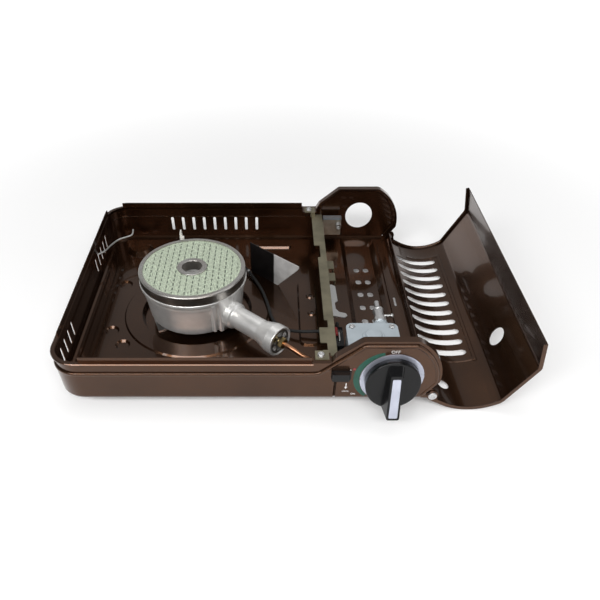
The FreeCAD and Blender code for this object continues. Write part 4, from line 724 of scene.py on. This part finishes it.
LENS = 32.71
SENSOR_WIDTH = 36
SHIFT = (0.0424, 0.199)
CAMERA_PLACE = (197.7, -343.7, 375.3)
CAMERA_DOWN_DEG = 48.55
CLIP_START = 0.01


def seen_by(tree, rays):
    """1 for the camera's rays and for those that metal or glass sends on."""
    seen = math_node(tree, "MAXIMUM", rays["Is Camera Ray"], rays["Is Glossy Ray"])
    return math_node(tree, "MAXIMUM", seen, rays["Is Transmission Ray"])


def pale_floor():
    """Matt floor that turns plain white away from the stove, and keeps the shadow beside it."""
    mesh = bpy.data.meshes.new("floor")
    form = bmesh.new()
    bmesh.ops.create_grid(form, x_segments=1, y_segments=1, size=FLOOR_HALF)
    form.to_mesh(mesh)
    form.free()
    floor = bpy.data.objects.new("floor", mesh)
    floor.location.z = -FLOOR_DROP
    bpy.context.scene.collection.objects.link(floor)
    mat, tree, shader, place = finish("pale_floor", FLOOR_TONE, roughness=0.9)
    shader.inputs["Specular IOR Level"].default_value = 0.1
    away = new_node(tree, "ShaderNodeVectorMath", operation="LENGTH")
    tree.links.new(place, away.inputs[0])
    white = step(tree, away.outputs["Value"], *FLOOR_GLOW_REACH, *FLOOR_GLOW)
    seen = seen_by(tree, tree.nodes.new("ShaderNodeLightPath").outputs)
    glow = new_node(tree, "ShaderNodeEmission", Color=WHITE)
    tree.links.new(math_node(tree, "MULTIPLY", seen, white), glow.inputs["Strength"])
    both = tree.nodes.new("ShaderNodeAddShader")
    tree.links.new(shader.outputs[0], both.inputs[0])
    tree.links.new(glow.outputs[0], both.inputs[1])
    tree.links.new(both.outputs[0], tree.nodes["Material Output"].inputs["Surface"])
    mesh.materials.append(mat)


def studio_world():
    """White all round; glossy surfaces see it up to a dark ceiling, with a paler wall behind the stove."""
    world = bpy.data.worlds.new("studio")
    world.use_nodes = True
    tree = world.node_tree
    rays = tree.nodes.new("ShaderNodeLightPath").outputs
    way = split(tree, tree.nodes.new("ShaderNodeTexCoord").outputs["Object"])
    horizon = step(tree, way["Z"], *HORIZON_Z, at_low=1.0, at_high=0.0)
    backdrop = math_node(tree, "MULTIPLY", step(tree, way["Y"], *BACKDROP_Y), WORLD_BACKDROP)
    pale = math_node(tree, "MAXIMUM", horizon, backdrop)
    glossy = step(tree, pale, 0.0, 1.0, at_low=WORLD_CEILING)
    shown = math_node(tree, "MAXIMUM", glossy, rays["Is Camera Ray"])
    strength = new_node(tree, "ShaderNodeMix", data_type="FLOAT")
    strength.inputs["A"].default_value = WORLD_ON_OBJECT
    tree.links.new(seen_by(tree, rays), strength.inputs["Factor"])
    tree.links.new(shown, strength.inputs["B"])
    back = tree.nodes["Background"]
    back.inputs["Color"].default_value = WHITE
    tree.links.new(strength.outputs["Result"], back.inputs["Strength"])
    bpy.context.scene.world = world


def soft_box(name, place, target, size, power):
    """Rectangular lamp that faces a target."""
    light = bpy.data.lights.new(name, "AREA")
    light.shape = "RECTANGLE"
    light.size, light.size_y = size
    light.energy = power
    lamp = bpy.data.objects.new(name, light)
    lamp.location = place
    lamp.rotation_euler = (Vector(target) - Vector(place)).to_track_quat("-Z", "Y").to_euler()
    bpy.context.scene.collection.objects.link(lamp)


def photo_camera():
    """Camera at the photograph's viewing angle."""
    data = bpy.data.cameras.new("camera")
    data.sensor_fit = "HORIZONTAL"
    data.sensor_width = SENSOR_WIDTH
    data.lens = LENS
    data.shift_x, data.shift_y = SHIFT
    data.clip_start = CLIP_START
    camera = bpy.data.objects.new("camera", data)
    camera.location = at(*CAMERA_PLACE)
    camera.rotation_euler = (math.radians(90 - CAMERA_DOWN_DEG), 0, 0)
    bpy.context.scene.collection.objects.link(camera)
    bpy.context.scene.camera = camera


pale_floor()
studio_world()
soft_box("overhead", place=(0.1, 0.35, 1.3), target=(0, 0, 0), size=(1.2, 0.8), power=4)
soft_box("front_left", place=(-0.9, -0.9, 0.9), target=(0, 0, 0.03), size=(0.6, 0.3), power=5)
soft_box("right_side", place=(1.2, -0.2, 0.7), target=(0.05, 0, 0.03), size=(0.5, 0.8), power=2)
soft_box("front_high", place=(-0.1, -0.95, 1.0), target=(0, 0, 0.05), size=(1.5, 0.3), power=14)
photo_camera()
bpy.context.scene.view_settings.view_transform = "Standard"
